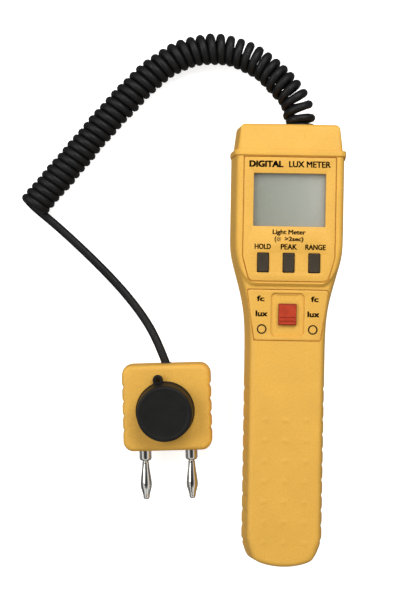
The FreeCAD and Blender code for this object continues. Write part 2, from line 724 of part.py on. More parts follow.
def make_sensor_shells():
    room = size("sensor_room")
    body = sensor_block("sensor_front_shell", "sensor_split", "sensor_height")
    top = size("sensor_height").number
    rim = size("sensor_half").number - 2.0
    round_edges(body, lambda middle, run: middle.z > top - 0.01
                and max(abs(middle.x), abs(middle.y)) > rim - 2.5, 2.0)
    extrude(body, "XY_Plane", "sensor_split", size("sensor_height") - "wall" - "sensor_split",
            [rectangle(0, 0, room, room - 0.5)], cut=True)
    extrude(body, "XY_Plane", "sensor_split", size("sensor_height") - "sensor_split" - 1.0,
            circles=[(x, y, 2.0) for x, y in sensor_post_spots()])
    extrude(body, "XY_Plane", "sensor_split", 5.5,
            circles=[(x, y, 0.95) for x, y in sensor_post_spots()], cut=True)
    extrude(body, "XY_Plane", "sensor_split", 10.0,
            circles=[("eye_side", "eye_place", size("collar_radius") + 0.1)], cut=True)
    sensor_side_holes(body)
    body = sensor_block("sensor_rear_shell", 0, "sensor_split")
    round_edges(body, lambda middle, run: middle.z < 0.01, 0.8)
    extrude(body, "XY_Plane", "wall", size("sensor_split") - "wall",
            [rectangle(0, 0, room, room - 0.5)], cut=True)
    extrude(body, "XY_Plane", "wall", size("sensor_split") - "wall",
            circles=[(x, y, 2.4) for x, y in sensor_post_spots()])
    extrude(body, "XY_Plane", 0, 3.5,
            circles=[(x, y, 1.9) for x, y in sensor_post_spots()], cut=True)
    extrude(body, "XY_Plane", 0, "sensor_split",
            circles=[(x, y, 1.2) for x, y in sensor_post_spots()], cut=True)
    sensor_side_holes(body)
    body = new_body("sensor_screws")
    extrude(body, "XY_Plane", 1.9, 1.6, circles=[(x, y, 1.7) for x, y in sensor_post_spots()])
    extrude(body, "XY_Plane", 3.5, 9.5, circles=[(x, y, 0.93) for x, y in sensor_post_spots()])
    extrude(body, "XY_Plane", 1.9, 0.8,
            [rectangle(x, y, 1.1, 0.25) for x, y in sensor_post_spots()], cut=True)


def make_sensor_optics():
    """Under the lens cap: a collar holds the diffuser over a filter and the photodiode."""
    collar = size("collar_radius")
    body = new_body("sensor_collar")
    turn(body, [(7.6, 14.4), (collar + 1.4, 14.4), (collar + 1.4, 15.9), (collar, 15.9),
                (collar, 23.5), (8.4, 24.0), (7.6, 23.5)])
    body = new_body("diffuser_dome")
    turn(body, [(0, 17.2), (7.5, 17.2), (7.5, 22.0), (6.6, 23.6), (4.6, 24.5), (2.4, 24.9),
                (0, 25.0)])
    body = new_body("optical_filter")
    turn(body, [(0, 15.6), (7.0, 15.6), (7.0, 17.1), (0, 17.1)])
    body = new_body("photodiode")
    turn(body, [(0, 12.2), (4.6, 12.2), (4.6, 12.9), (4.1, 12.9), (4.1, 15.5), (0, 15.5)])
    for label in ("sensor_collar", "diffuser_dome", "optical_filter", "photodiode"):
        place_body(label, x="eye_side", y="eye_place")
    body = new_body("sensor_board")
    extrude(body, "XY_Plane", 11.0, 1.2, [rectangle(0, 0, 10.8, 10.8)])
    add_tube("sensor_wires", [[(side * 0.8, 13.4, 8.5), (side * 1.2, 10.2, 8.7),
                               (side * 2.2, 7.0, 9.4), (side * 3.2, 4.6, 10.5)]
                              for side in LEFT_AND_RIGHT], 0.9)


def make_lens_cap():
    body = new_body("lens_cap")
    face, rim = size("cap_face_radius"), size("cap_rim_radius")
    turn(body, [(0, 25.5), (9.9, 25.5), (9.9, 18.3), (12.0, 18.3), (12.0, 19.9), (rim, 20.0),
                (face + 0.1, 26.6), (face - 0.4, 27.0), (0, 27.0)])
    # the lug for pulling the cap off stands out of its rim
    lug_angle, lug_reach, lug_half = math.radians(102.0), 12.9, 2.1
    along = Vector(math.cos(lug_angle), math.sin(lug_angle), 0)
    across = Vector(-along.y, along.x, 0)
    corners = [along * 10.6 - across * lug_half, along * lug_reach - across * lug_half,
               along * lug_reach + across * lug_half, along * 10.6 + across * lug_half]
    extrude(body, "XY_Plane", 18.3, 2.3, [[(spot.x, spot.y) for spot in corners]])
    centre = along * lug_reach
    extrude(body, "XY_Plane", 18.3, 2.3, circles=[(centre.x, centre.y, lug_half)])
    extrude(body, "XY_Plane", 18.0, 3.0, circles=[(centre.x, centre.y, 0.9)], cut=True)
    place_body("lens_cap", x="eye_side", y="eye_place")


def make_plugs():
    """Two banana plugs: a turned pin with a collar, and a bowed sleeve of four leaves."""
    plug_x = size("plug_spacing") / 2
    for label, side in (("left", -1), ("right", 1)):
        reach = size("plug_reach")
        body = new_body("plug_" + label)
        turn(body, [(0, -reach), (0.9, -reach), (1.25, 0.5 - reach), (1.25, 1.2 - reach),
                    (1.0, 1.6 - reach), (1.0, -22.9), (1.25, -22.3), (2.2, -22.0), (2.5, -21.6),
                    (2.5, -18.0), (1.5, -18.0), (1.5, -12.0), (0, -12.0)], plane="XY_Plane")
        place_body("plug_" + label, x=side * plug_x, z="sensor_split")
        body = new_body("plug_spring_" + label)
        turn(body, [(1.35, -36.4), (1.05, -36.4), (1.9, -34.0), (2.05, -32.2), (1.75, -29.0),
                    (1.05, -23.6), (1.05, -22.95), (1.35, -22.95), (1.35, -23.6), (2.05, -29.0),
                    (2.35, -32.2), (2.2, -34.0)], plane="XY_Plane")
        slots = [rectangle(0, -30.0, 0.25, 5.4)]
        extrude(body, "XY_Plane", -3.0, 6.0, slots, cut=True)
        extrude(body, "YZ_Plane", -3.0, 6.0, [rectangle(-30.0, 0, 5.4, 0.25)], cut=True)
        place_body("plug_spring_" + label, x=side * plug_x, z="sensor_split")
    body = new_body("plug_nuts")
    split, nut_radius = size("sensor_split"), 2.1
    hexagon = [(nut_radius * math.cos(math.radians(60 * corner + 30)),
                nut_radius * math.sin(math.radians(60 * corner + 30))) for corner in range(6)]
    outlines = [[(side * plug_x + x, split + y) for x, y in hexagon] for side in LEFT_AND_RIGHT]
    extrude(body, "XZ_Plane", -15.65, 2.2, outlines)
    extrude(body, "XZ_Plane", -16.5, 4.0,
            circles=[(side * plug_x, split, 1.55) for side in LEFT_AND_RIGHT], cut=True)


def make_sensor_bushing():
    body = new_body("sensor_bushing")
    turn(body, [(1.55, 13.5), (3.2, 13.5), (3.2, 15.65), (2.2, 15.65), (2.2, 18.1), (1.55, 18.1)],
         plane="XY_Plane")
    place_body("sensor_bushing", z="sensor_split")


SENSOR_NODES = (
    "sensor_front_shell", "sensor_rear_shell", "sensor_screws", "sensor_collar", "diffuser_dome",
    "optical_filter", "photodiode", "sensor_board", "sensor_wires", "lens_cap", "plug_left",
    "plug_right", "plug_spring_left", "plug_spring_right", "plug_nuts", "sensor_bushing",
)


def place_sensor_head():
    """Turn every sensor piece and move it from its local frame to its place by the grip."""
    doc.recompute()
    turned = Rotation(Vector(0, 0, 1), size("sensor_turn").number)
    home = Vector(size("sensor_side").number, size("sensor_place").number, 0)
    for label in SENSOR_NODES:
        body = nodes[label]
        local = Placement(body.Placement)
        for path, _ in list(body.ExpressionEngine):
            body.setExpression(path, None)
        body.Placement = Placement(home, turned).multiply(local)


# ---------------------------------------------------------------- build, check and write

make_front_shell()
make_rear_shell()
make_case_screws()
make_end_cap()
make_cord_grommet()
make_panels()
make_display()
make_keys()
make_switch_knob()
make_board()
make_board_parts()
make_battery()
make_inner_leads()
make_sensor_shells()
make_sensor_optics()
make_lens_cap()
make_plugs()
make_sensor_bushing()
place_sensor_head()
make_cord()
doc.recompute()

for item in doc.Objects:
    if "Invalid" in item.State or "Error" in item.State:
        raise RuntimeError("%s failed: %s" % (item.Name, item.State))
for label, node in nodes.items():
    if node.Shape.isNull() or not node.Shape.isValid():
        raise RuntimeError(label + " has no valid shape")

os.makedirs("parts", exist_ok=True)
for label, node in nodes.items():
    node.Shape.exportStep("parts/%s.step" % label)
print(len(nodes), "sub-parts written")
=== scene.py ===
"""A hand-held light meter with a sensor head on a curly cord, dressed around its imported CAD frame.

Lengths are in millimetres until a mesh or curve is made, which turns them into metres. The meter
lies on its back: +Y runs from the grip to the head and +Z out of the front face.
"""
import json
import math

import bmesh
import bpy
from mathutils import Matrix, Vector


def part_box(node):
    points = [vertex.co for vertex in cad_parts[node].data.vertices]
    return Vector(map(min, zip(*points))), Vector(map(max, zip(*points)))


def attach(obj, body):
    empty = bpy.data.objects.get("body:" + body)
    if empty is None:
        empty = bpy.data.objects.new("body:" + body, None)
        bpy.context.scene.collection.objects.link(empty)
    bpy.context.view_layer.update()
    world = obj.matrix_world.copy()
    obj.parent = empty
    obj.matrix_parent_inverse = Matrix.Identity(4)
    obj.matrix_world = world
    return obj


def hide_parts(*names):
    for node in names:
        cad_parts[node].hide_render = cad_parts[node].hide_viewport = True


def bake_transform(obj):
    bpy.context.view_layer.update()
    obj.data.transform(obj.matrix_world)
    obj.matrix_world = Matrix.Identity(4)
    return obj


MM = 0.001
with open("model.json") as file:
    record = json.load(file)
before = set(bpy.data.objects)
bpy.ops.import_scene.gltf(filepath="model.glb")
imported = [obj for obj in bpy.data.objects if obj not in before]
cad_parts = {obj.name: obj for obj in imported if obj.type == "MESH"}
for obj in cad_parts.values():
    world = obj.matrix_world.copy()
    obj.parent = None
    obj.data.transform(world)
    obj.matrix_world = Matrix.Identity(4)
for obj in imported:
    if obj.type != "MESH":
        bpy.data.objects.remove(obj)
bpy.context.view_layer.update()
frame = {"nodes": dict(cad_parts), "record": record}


def cad_span(node):
    """The lowest and highest corner of a CAD node, in millimetres."""
    low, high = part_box(node)
    return low / MM, high / MM


def plan_middle(node):
    """The middle of a CAD node seen from above, in millimetres."""
    low, high = cad_span(node)
    return (low.x + high.x) / 2, (low.y + high.y) / 2


# ---------------------------------------------------------------- mesh helpers

def add_object(name, data):
    obj = bpy.data.objects.new(name, data)
    bpy.context.scene.collection.objects.link(obj)
    return obj


def smooth(obj, sharp):
    """Smooth shading, except across edges that turn by more than sharp degrees."""
    obj.data.shade_smooth()
    obj.data.set_sharp_from_angle(angle=math.radians(sharp))


def mesh_object(name, points, faces, sharp=40.0):
    mesh = bpy.data.meshes.new(name)
    mesh.from_pydata([Vector(point) * MM for point in points], [], faces)
    mesh.update()
    obj = add_object(name, mesh)
    smooth(obj, sharp)
    return obj


def evaluated_mesh(obj):
    graph = bpy.context.evaluated_depsgraph_get()
    graph.update()
    return bpy.data.meshes.new_from_object(obj.evaluated_get(graph))


def take_mesh(drawn):
    """The mesh that a drawn curve or text makes; the drawn object is removed."""
    mesh = evaluated_mesh(drawn)
    bpy.data.objects.remove(drawn)
    return mesh


def bake_modifiers(obj, sharp=40.0):
    """Turn what the object's modifiers make into its own mesh."""
    mesh = evaluated_mesh(obj)
    obj.modifiers.clear()
    obj.data = mesh
    smooth(obj, sharp)


def even_normals(obj):
    """Let large faces lead the shading, so that they stay flat beside small round edges."""
    modifier = obj.modifiers.new("even", "WEIGHTED_NORMAL")
    modifier.keep_sharp = True
    mesh = evaluated_mesh(obj)
    obj.modifiers.clear()
    obj.data = mesh


def boolean(obj, operation, tools):
    """Cut the tools from obj, or join them to it, and remove the tools."""
    group = bpy.data.collections.new(obj.name + "_tools")
    for tool in tools:
        group.objects.link(tool)
    modifier = obj.modifiers.new("boolean", "BOOLEAN")
    modifier.operation = operation
    modifier.operand_type = "COLLECTION"
    modifier.collection = group
    modifier.solver = "EXACT"
    bake_modifiers(obj)
    for tool in tools:
        bpy.data.objects.remove(tool)
    bpy.data.collections.remove(group)


def merge(name, objects, sharp=40.0):
    """One object from several separate solids."""
    built = bmesh.new()
    for obj in objects:
        part = obj.data.copy()
        part.transform(obj.matrix_world)
        built.from_mesh(part)
        bpy.data.objects.remove(obj)
    mesh = bpy.data.meshes.new(name)
    built.to_mesh(mesh)
    built.free()
    result = add_object(name, mesh)
    smooth(result, sharp)
    return result


def strips(rings, closed=True):
    """Quads between one ring of point numbers and the next."""
    faces = []
    for low, high in zip(rings, rings[1:]):
        count = len(low)
        for here in range(count if closed else count - 1):
            there = (here + 1) % count
            faces.append((low[here], low[there], high[there], high[here]))
    return faces


def loft(name, rings, sharp=40.0, open_ends=False):
    """A solid through closed rings of points, counter-clockwise seen from the last one."""
    count = len(rings[0])
    points = [point for ring in rings for point in ring]
    numbers = [list(range(start, start + count)) for start in range(0, len(points), count)]
    faces = strips(numbers)
    if not open_ends:
        faces.append(tuple(reversed(numbers[0])))
        faces.append(tuple(numbers[-1]))
    return mesh_object(name, points, faces, sharp)


def lathe(name, profile, segments=72, along="z", sharp=40.0):
    """Turn a closed profile of (radius, place), listed outwards from its lowest place."""
    points, rings = [], []
    for radius, place in profile:
        count = segments if radius > 0 else 1
        rings.append(list(range(len(points), len(points) + count)))
        for step in range(count):
            angle = 2 * math.pi * step / segments
            across, up = radius * math.cos(angle), radius * math.sin(angle)
            points.append((across, up, place) if along == "z" else (up, place, across))
    faces = []
    loops = rings if 1 in (len(rings[0]), len(rings[-1])) else rings + rings[:1]
    for low, high in zip(loops, loops[1:]):
        for step in range(segments):
            corners = [low[step % len(low)], low[(step + 1) % segments % len(low)],
                       high[(step + 1) % segments % len(high)], high[step % len(high)]]
            faces.append(tuple(dict.fromkeys(corners)))
    return mesh_object(name, points, [face for face in faces if len(face) > 2], sharp)


def rounded_outline(corners, radii, steps=6):
    """A closed outline in plan, counter-clockwise, with each corner rounded to its radius."""
    outline = []
    for index, (corner, radius) in enumerate(zip(corners, radii)):
        corner = Vector(corner)
        before = (Vector(corners[index - 1]) - corner).normalized()
        after = (Vector(corners[(index + 1) % len(corners)]) - corner).normalized()
        half_turn = (math.pi - before.angle(after)) / 2
        reach = radius * math.tan(half_turn)
        start, end = corner + before * reach, corner + after * reach
        centre = corner + (before + after).normalized() * (radius / math.cos(half_turn))
        for step in range(steps + 1):
            spot = start.lerp(end, step / steps)
            outline.append(centre + (spot - centre).normalized() * radius if radius else corner)
    return [(spot.x, spot.y) for spot in outline]


def box_corners(x, y, half_x, half_y):
    return [(x - half_x, y - half_y), (x + half_x, y - half_y),
            (x + half_x, y + half_y), (x - half_x, y + half_y)]


def rounded_box(x, y, half_x, half_y, radius, steps=5):
    return rounded_outline(box_corners(x, y, half_x, half_y), [radius] * 4, steps)


def mirrored(right_side):
    """A closed outline from its right half, listed upwards, and the same points on the left."""
    return right_side + [(-x, y) for x, y in reversed(right_side)]


def prism(name, outline, low, high, top_outline=None):
    """An upright solid between two heights; top_outline, if given, is its shape at the top."""
    return loft(name, [[(x, y, low) for x, y in outline],
                       [(x, y, high) for x, y in top_outline or outline]])


def circle(x, y, radius, steps=40):
    return [(x + radius * math.cos(2 * math.pi * step / steps),
             y + radius * math.sin(2 * math.pi * step / steps)) for step in range(steps)]


def lying_cylinder(x, z, radius, start, end, segments):
    """A cutting cylinder that lies along Y between two places."""
    turns = [2 * math.pi * step / segments for step in range(segments)]
    return loft("cut", [[(x + radius * math.cos(turn), y, z - radius * math.sin(turn))
                         for turn in turns] for y in (start, end)])


def plate(name, outlines, low, high, edge=0.0):
    """A flat plate filled between an outer outline and its holes, its rims rounded by edge."""
    curve = bpy.data.curves.new(name + "_outline", "CURVE")
    curve.dimensions = "2D"
    curve.fill_mode = "BOTH"
    curve.extrude = ((high - low) / 2 - edge) * MM
    curve.bevel_depth = edge * MM
    curve.bevel_resolution = 1
    curve.offset = -edge * MM
    for outline in outlines:
        spline = curve.splines.new("POLY")
        spline.points.add(len(outline) - 1)
        for point, (x, y) in zip(spline.points, outline):
            point.co = (x * MM, y * MM, 0, 1)
        spline.use_cyclic_u = True
    mesh = take_mesh(add_object(name + "_outline", curve))
    mesh.transform(Matrix.Translation((0, 0, (low + high) / 2 * MM)))
    welded = bmesh.new()
    welded.from_mesh(mesh)
    bmesh.ops.remove_doubles(welded, verts=welded.verts, dist=0.002 * MM)
    bmesh.ops.recalc_face_normals(welded, faces=welded.faces)
    welded.to_mesh(mesh)
    welded.free()
    plate_object = add_object(name, mesh)
    smooth(plate_object, 40.0)
    return plate_object


def soft_block(name, outline_at, low, high, edge, crown=0.0):
    """An upright block with round top edges and a top that rises by crown at its middle.

    outline_at gives the block's outline drawn in by any amount.
    """
    rings = [[(x, y, low) for x, y in outline_at(0)]]
    for step in range(7):
        angle = math.pi / 2 * step / 6
        inset, drop = edge * (1 - math.cos(angle)), edge * (1 - math.sin(angle))
        rings.append([(x, y, high - drop) for x, y in outline_at(inset)])
    middle = sum((Vector(spot) for spot in outline_at(0)), Vector((0, 0))) / len(outline_at(0))
    rim = [Vector(spot) for spot in outline_at(edge)]
    for share in (0.9, 0.7, 0.45, 0.2):
        rise = crown * (1 - share ** 2)
        spots = [middle.lerp(spot, share) for spot in rim]
        rings.append([(spot.x, spot.y, high + rise) for spot in spots])
    return loft(name, rings)


# ---------------------------------------------------------------- materials

class Look:
    """A material's node tree, with short calls for the nodes that are used here."""

    def __init__(self, name):
        self.material = bpy.data.materials.new(name)
        self.material.use_nodes = True
        self.tree = self.material.node_tree
        self.shader = self.tree.nodes["Principled BSDF"]
        self.place = self.tree.nodes.new("ShaderNodeTexCoord").outputs["Object"]

    def node(self, kind, settings=None, **inputs):
        """A node with its settings and inputs; a _ in an input's name stands for a space."""
        node = self.tree.nodes.new("ShaderNode" + kind)
        for key, value in (settings or {}).items():
            setattr(node, key, value)
        for key, value in inputs.items():
            self.feed(node, key.replace("_", " "), value)
        return node

    def feed(self, node, socket, value):
        if isinstance(value, bpy.types.NodeSocket):
            self.tree.links.new(value, node.inputs[socket])
        else:
            node.inputs[socket].default_value = value

    def noise(self, size, detail=3.0, stretch=(1, 1, 1), roughness=0.5):
        """Noise whose features are about size millimetres wide."""
        place = self.node("Mapping", Vector=self.place, Scale=stretch).outputs["Vector"]
        node = self.node("TexNoise", Vector=place, Scale=1 / (size * MM), Detail=detail,
                         Roughness=roughness)
        return node.outputs["Fac"]

    def between(self, factor, low, high, start=0.3, end=0.7):
        """Low below start and high above end, as numbers or as colours."""
        if isinstance(low, (int, float)):
            node = self.node("MapRange", Value=factor, To_Min=low, To_Max=high)
            self.feed(node, "From Min", start)
            self.feed(node, "From Max", end)
            return node.outputs["Result"]
        ramp = self.node("ValToRGB", Fac=factor)
        for element, place, colour in zip(ramp.color_ramp.elements, (start, end), (low, high)):
            element.position = place
            element.color = (*colour, 1)
        return ramp.outputs["Color"]

    def blend(self, factor, first, second):
        """Two colours mixed; a Mix node's colours are its inputs 6 and 7 and its output 2."""
        node = self.node("Mix", {"data_type": "RGBA"})
        self.feed(node, 0, factor)
        for number, colour in ((6, first), (7, second)):
            plain = isinstance(colour, tuple)
            self.feed(node, number, (*colour, 1) if plain else colour)
        return node.outputs[2]

    def bump(self, height, depth, strength=1.0, under=None):
        """A bump of the given depth in millimetres, on top of another one."""
        node = self.node("Bump", Height=height, Strength=strength, Distance=depth * MM)
        if under is not None:
            self.feed(node, "Normal", under)
        return node.outputs["Normal"]

    def finish(self, **inputs):
        """Feed the shader and give back the material."""
        for key, value in inputs.items():
            if key in ("Base_Color", "Emission_Color") and isinstance(value, tuple):
                value = (*value, 1)
            self.feed(self.shader, key.replace("_", " "), value)
        return self.material


def shade(colour, factor):
    return tuple(min(1.0, channel * factor) for channel in colour)


def moulded(name, colour, roughness, grain=0.35, depth=0.02, mottle=0.05, specular=0.4):
    """Moulded plastic: fine grain, a little unevenness in colour and gloss, faint scuffs."""
    look = Look(name)
    patches = look.noise(14.0, detail=4.0)
    tint = look.between(patches, shade(colour, 1 - mottle), shade(colour, 1 + mottle))
    speckle = look.noise(0.7, detail=3.0, roughness=0.6)
    tint = look.blend(look.between(speckle, 0.0, 0.5, 0.35, 0.65), tint, shade(colour, 0.8))
    scuffs = look.noise(1.6, detail=6.0, stretch=(1.0, 0.12, 1.0), roughness=0.7)
    tint = look.blend(look.between(scuffs, 0.0, 0.16, 0.62, 0.75), tint, shade(colour, 1.25))
    gloss = look.between(look.noise(5.0, detail=5.0), roughness - 0.05, roughness + 0.07)
    texture = look.bump(look.noise(grain, detail=2.0), depth, 0.5)
    return look.finish(Base_Color=tint, Roughness=gloss, Normal=texture, Specular_IOR_Level=specular)


def metal(name, colour, roughness, brushed=0.0):
    look = Look(name)
    streaks = look.noise(0.5, detail=4.0, stretch=(1.0, 0.05, 1.0))
    tint = look.between(look.noise(3.0, detail=3.0), shade(colour, 0.93), colour)
    texture = look.bump(streaks, 0.01, 0.03 + brushed)
    gloss = look.between(streaks, 0.7 * roughness, 1.3 * roughness)
    return look.finish(Base_Color=tint, Roughness=gloss, Normal=texture, Metallic=1.0)


def rubber(name, colour):
    """Cord jacket: satin black with fine drag lines and a little dust."""
    look = Look(name)
    dust = look.between(look.noise(2.2, detail=6.0, roughness=0.65), 0.0, 0.4, 0.5, 0.8)
    tint = look.blend(dust, colour, shade(colour, 2.4))
    gloss = look.between(look.noise(1.5, detail=4.0), 0.4, 0.6)
    texture = look.bump(look.noise(0.6, detail=3.0), 0.05, 0.6)
    return look.finish(Base_Color=tint, Roughness=gloss, Normal=texture, Specular_IOR_Level=0.25)


def display_look():
    """An unlit liquid crystal cell: grey-green, painted paler to the right as a reflection, with a
    fine grain.
    """
    look = Look("display_cell_look")
    across = look.node("SeparateXYZ", Vector=look.place).outputs["X"]
    # Painted reflection: the cell's colour runs from dark on the left to pale on the right, as if a
    # reflection lay on it.
    painted_reflection = look.between(across, 0.0, 1.0, -0.010, 0.016)
    tint = look.blend(painted_reflection, (0.15, 0.165, 0.105), (0.355, 0.365, 0.305))
    cloud = look.between(look.noise(6.0, detail=5.0), 0.0, 0.35)
    tint = look.blend(cloud, tint, (0.2, 0.215, 0.155))
    grain = look.noise(0.22, detail=2.0)
    tint = look.blend(look.between(grain, 0.0, 0.12), tint, (0.16, 0.17, 0.13))
    return look.finish(Base_Color=tint, Roughness=look.between(grain, 0.22, 0.34),
                       Specular_IOR_Level=0.4)


def window_look():
    """A thin clear pane with faint rub marks."""
    look = Look("window_look")
    marks = look.noise(2.0, detail=6.0, stretch=(1.0, 0.2, 1.0), roughness=0.7)
    gloss = look.between(marks, 0.04, 0.12, 0.4, 0.8)
    return look.finish(Base_Color=(0.93, 0.95, 0.93), Roughness=gloss, Alpha=0.1)


def battery_look():
    """A printed metal sleeve: dark, with a brass-coloured band towards the terminals."""
    look = Look("battery_look")
    along = look.node("SeparateXYZ", Vector=look.place).outputs["Y"]
    _, top = cad_span("battery")
    band_start = (top.y - 15.0) * MM
    band = look.between(along, 0.0, 1.0, band_start, band_start + 0.2 * MM)
    speckle = look.noise(0.6, detail=3.0)
    dark = look.between(speckle, (0.02, 0.02, 0.024), (0.035, 0.035, 0.04))
    tint = look.blend(band, dark, (0.66, 0.42, 0.16))
    texture = look.bump(speckle, 0.01, 0.2)
    return look.finish(Base_Color=tint, Metallic=0.6, Normal=texture,
                       Roughness=look.between(speckle, 0.25, 0.35))


def board_look():
    """Green solder mask with copper tracks showing through."""
    look = Look("board_look")
    tracks = look.node("TexBrick", Vector=look.place, Scale=1 / (9.0 * MM)).outputs["Fac"]
    tint = look.blend(look.between(tracks, 0.0, 1.0), (0.02, 0.16, 0.06), (0.05, 0.25, 0.09))
    return look.finish(Base_Color=tint, Roughness=look.between(look.noise(4.0), 0.25, 0.4),
                       Normal=look.bump(tracks, 0.03, 0.5))


def foam_look():
    look = Look("foam_look")
    cells = look.node("TexVoronoi", Vector=look.place, Scale=1 / (0.9 * MM)).outputs["Distance"]
    tint = look.between(cells, (0.03, 0.03, 0.03), (0.1, 0.1, 0.1), 0.1, 0.7)
    return look.finish(Base_Color=tint, Roughness=0.95, Normal=look.bump(cells, 0.3))


def opal_look(name, colour):
    """Milky or tinted translucent plastic and glass."""
    look = Look(name)
    tint = look.between(look.noise(3.0, detail=4.0), shade(colour, 0.93), colour)
    return look.finish(Base_Color=tint, Roughness=look.between(look.noise(1.0), 0.28, 0.4),
                       Subsurface_Weight=0.25, Subsurface_Radius=(0.002, 0.002, 0.0018))


KNOB_SHIFT = 0.2


def knob_look():
    """Red plastic, with painted shade darkening the slider's edges, standing for the shadow in the gap
    round it.
    """
    look = Look("knob_red_look")
    low, high = cad_span("switch_knob")
    middle, half = (low + high) / 2 * MM, (high - low) / 2 * MM
    tint = look.between(look.noise(2.5), (0.4, 0.036, 0.01), (0.52, 0.05, 0.016))
    parts = look.node("SeparateXYZ", Vector=look.place)
    for axis, place, reach in (("X", middle.x, half.x), ("Y", middle.y + KNOB_SHIFT * MM, half.y)):
        away = look.node("Math", {"operation": "SUBTRACT"})
        look.feed(away, 0, parts.outputs[axis])
        look.feed(away, 1, place)
        size = look.node("Math", {"operation": "ABSOLUTE"})
        look.feed(size, 0, away.outputs[0])
        # Painted shade: the tint turns dark red within a few tenths of a millimetre of each edge,
        # standing for the shadow round the slider.
        rim = look.between(size.outputs[0], 0.0, 0.85, reach - 0.3 * MM, reach - 0.05 * MM)
        tint = look.blend(rim, tint, (0.13, 0.012, 0.004))
    gloss = look.between(look.noise(1.2), 0.4, 0.52)
    return look.finish(Base_Color=tint, Roughness=gloss, Specular_IOR_Level=0.3,
                       Normal=look.bump(look.noise(0.8), 0.03, 0.6))


YELLOW = (0.81, 0.44, 0.062)
LOOKS = {
    "yellow_case": moulded("yellow_case_look", YELLOW, 0.6, grain=0.8, depth=0.07, specular=0.5),
    "black_rubber": rubber("black_rubber_look", (0.0045, 0.0045, 0.0046)),
    "black_plastic": moulded("black_plastic_look", (0.0085, 0.008, 0.0075), 0.5, grain=0.6,
                             depth=0.12, mottle=0.15, specular=0.22),
    "panel_film": moulded("panel_film_look", (0.81, 0.44, 0.065), 0.56, grain=0.7, depth=0.05,
                          specular=0.5),
    "clear_window": window_look(),
    "display_cell": display_look(),
    "white_plastic": moulded("white_plastic_look", (0.72, 0.72, 0.68), 0.4),
    "strip_rubber": moulded("strip_rubber_look", (0.34, 0.25, 0.22), 0.6),
    "board_laminate": board_look(),
    "component_black": moulded("component_black_look", (0.02, 0.02, 0.022), 0.5),
    "trimmer_blue": moulded("trimmer_blue_look", (0.03, 0.12, 0.4), 0.3),
    "capacitor_sleeve": moulded("capacitor_sleeve_look", (0.03, 0.04, 0.14), 0.25),
    "switch_metal": metal("switch_metal_look", (0.6, 0.6, 0.57), 0.3, 0.2),
    "key_grey": moulded("key_grey_look", (0.046, 0.034, 0.02), 0.5, grain=0.5, depth=0.04,
                        mottle=0.1, specular=0.25),
    "knob_red": knob_look(),
    "screw_steel": metal("screw_steel_look", (0.62, 0.62, 0.63), 0.25, 0.1),
    "battery_case": battery_look(),
    "snap_vinyl": moulded("snap_vinyl_look", (0.015, 0.015, 0.016), 0.38),
    "wire_insulation": moulded("wire_insulation_look", (0.4, 0.02, 0.02), 0.3),
    "foam": foam_look(),
    "diffuser_white": opal_look("diffuser_look", (0.88, 0.88, 0.85)),
    "filter_green": opal_look("filter_look", (0.25, 0.45, 0.2)),
    "diode_metal": metal("diode_metal_look", (0.66, 0.6, 0.48), 0.22),
    "plug_chrome": metal("plug_chrome_look", (0.84, 0.82, 0.77), 0.06),
    "nut_brass": metal("nut_brass_look", (0.75, 0.5, 0.2), 0.25),
}
INK = moulded("ink_look", (0.012, 0.007, 0.003), 0.6, depth=0.005, mottle=0.15, specular=0.15)


def paint(obj, material):
    obj.data.materials.clear()
    obj.data.materials.append(material)


def dress(obj, body, slot, *nodes):
    """Give a finished piece its material, its body and the CAD nodes it stands for."""
    paint(obj, LOOKS[slot])
    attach(obj, body)
    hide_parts(*nodes)


def dress_cad_nodes():
    """The CAD nodes that stay get their slot's material."""
    slots = {node: entry["slot"] for entry in frame["record"]["materials"]
             for node in entry.get("nodes", [])}
    for node, obj in frame["nodes"].items():
        if node in slots:
            paint(obj, LOOKS[slots[node]])


# ---------------------------------------------------------------- case shells

# Heights: the parting plane, each shell's height over it, and how far the head stands out.
SPLIT, SHELL_HEIGHT, HEAD_RISE, WALL = 14.0, 14.0, 1.5, 1.8
# The outline in plan, from the heel's arc along the grip and the neck to the head's end.
HEEL_FOOT, HEEL_RADIUS, HEEL_TURN = -90.1, 31.3, -87.05
GRIP_HALF, NECK_SLOPE, HEEL_SLOPE = 16.45, 0.2952, 0.3427
NECK_FOOT, NECK_TOP, HEEL_SIDE = 14.2, 36.9, -79.7
NECK_FOOT_SOFT, NECK_TOP_SOFT, HEEL_SIDE_SOFT, HEEL_SOFT = 4.4, 1.96, 0.6, 1.1
HEAD_END, BEAD_WIDTH = 75.8, 2.4
# The face's grid: the rows' spacing, the columns, and how far up the rows curve like the heel.
ROW_STEP, COLUMNS, HEEL_BLEND = 0.65, 48, 25.0
# The step between the grip's face and the head's, the finger grooves, and the grip's pips.
STEP_LINE, STEP_RUN, STEP_STRAIGHT, STEP_CURL = 24.3, 1.3, 13.0, 0.15
GROOVE_FIRST, GROOVE_PITCH, GROOVES, GROOVE_DEPTH, GROOVE_HALF = -17.8, 6.2, 11, 0.55, 0.75
PIP_COLUMNS, PIP_FIRST, PIP_PITCH, PIP_ROWS = (-8.2, 0.0, 8.2), -29.6, 8.17, 7
PIP_WIDE, PIP_TALL, PIP_RISE = 1.5, 1.0, 0.2


def ease(share):
    share = min(1.0, max(0.0, share))
    return share * share * (3 - 2 * share)


def soft_ramp(distance, softness):
    """Zero below the corner and distance above it, with the corner rounded off."""
    if distance > 30 * softness:
        return distance
    return softness * math.log1p(math.exp(distance / softness))


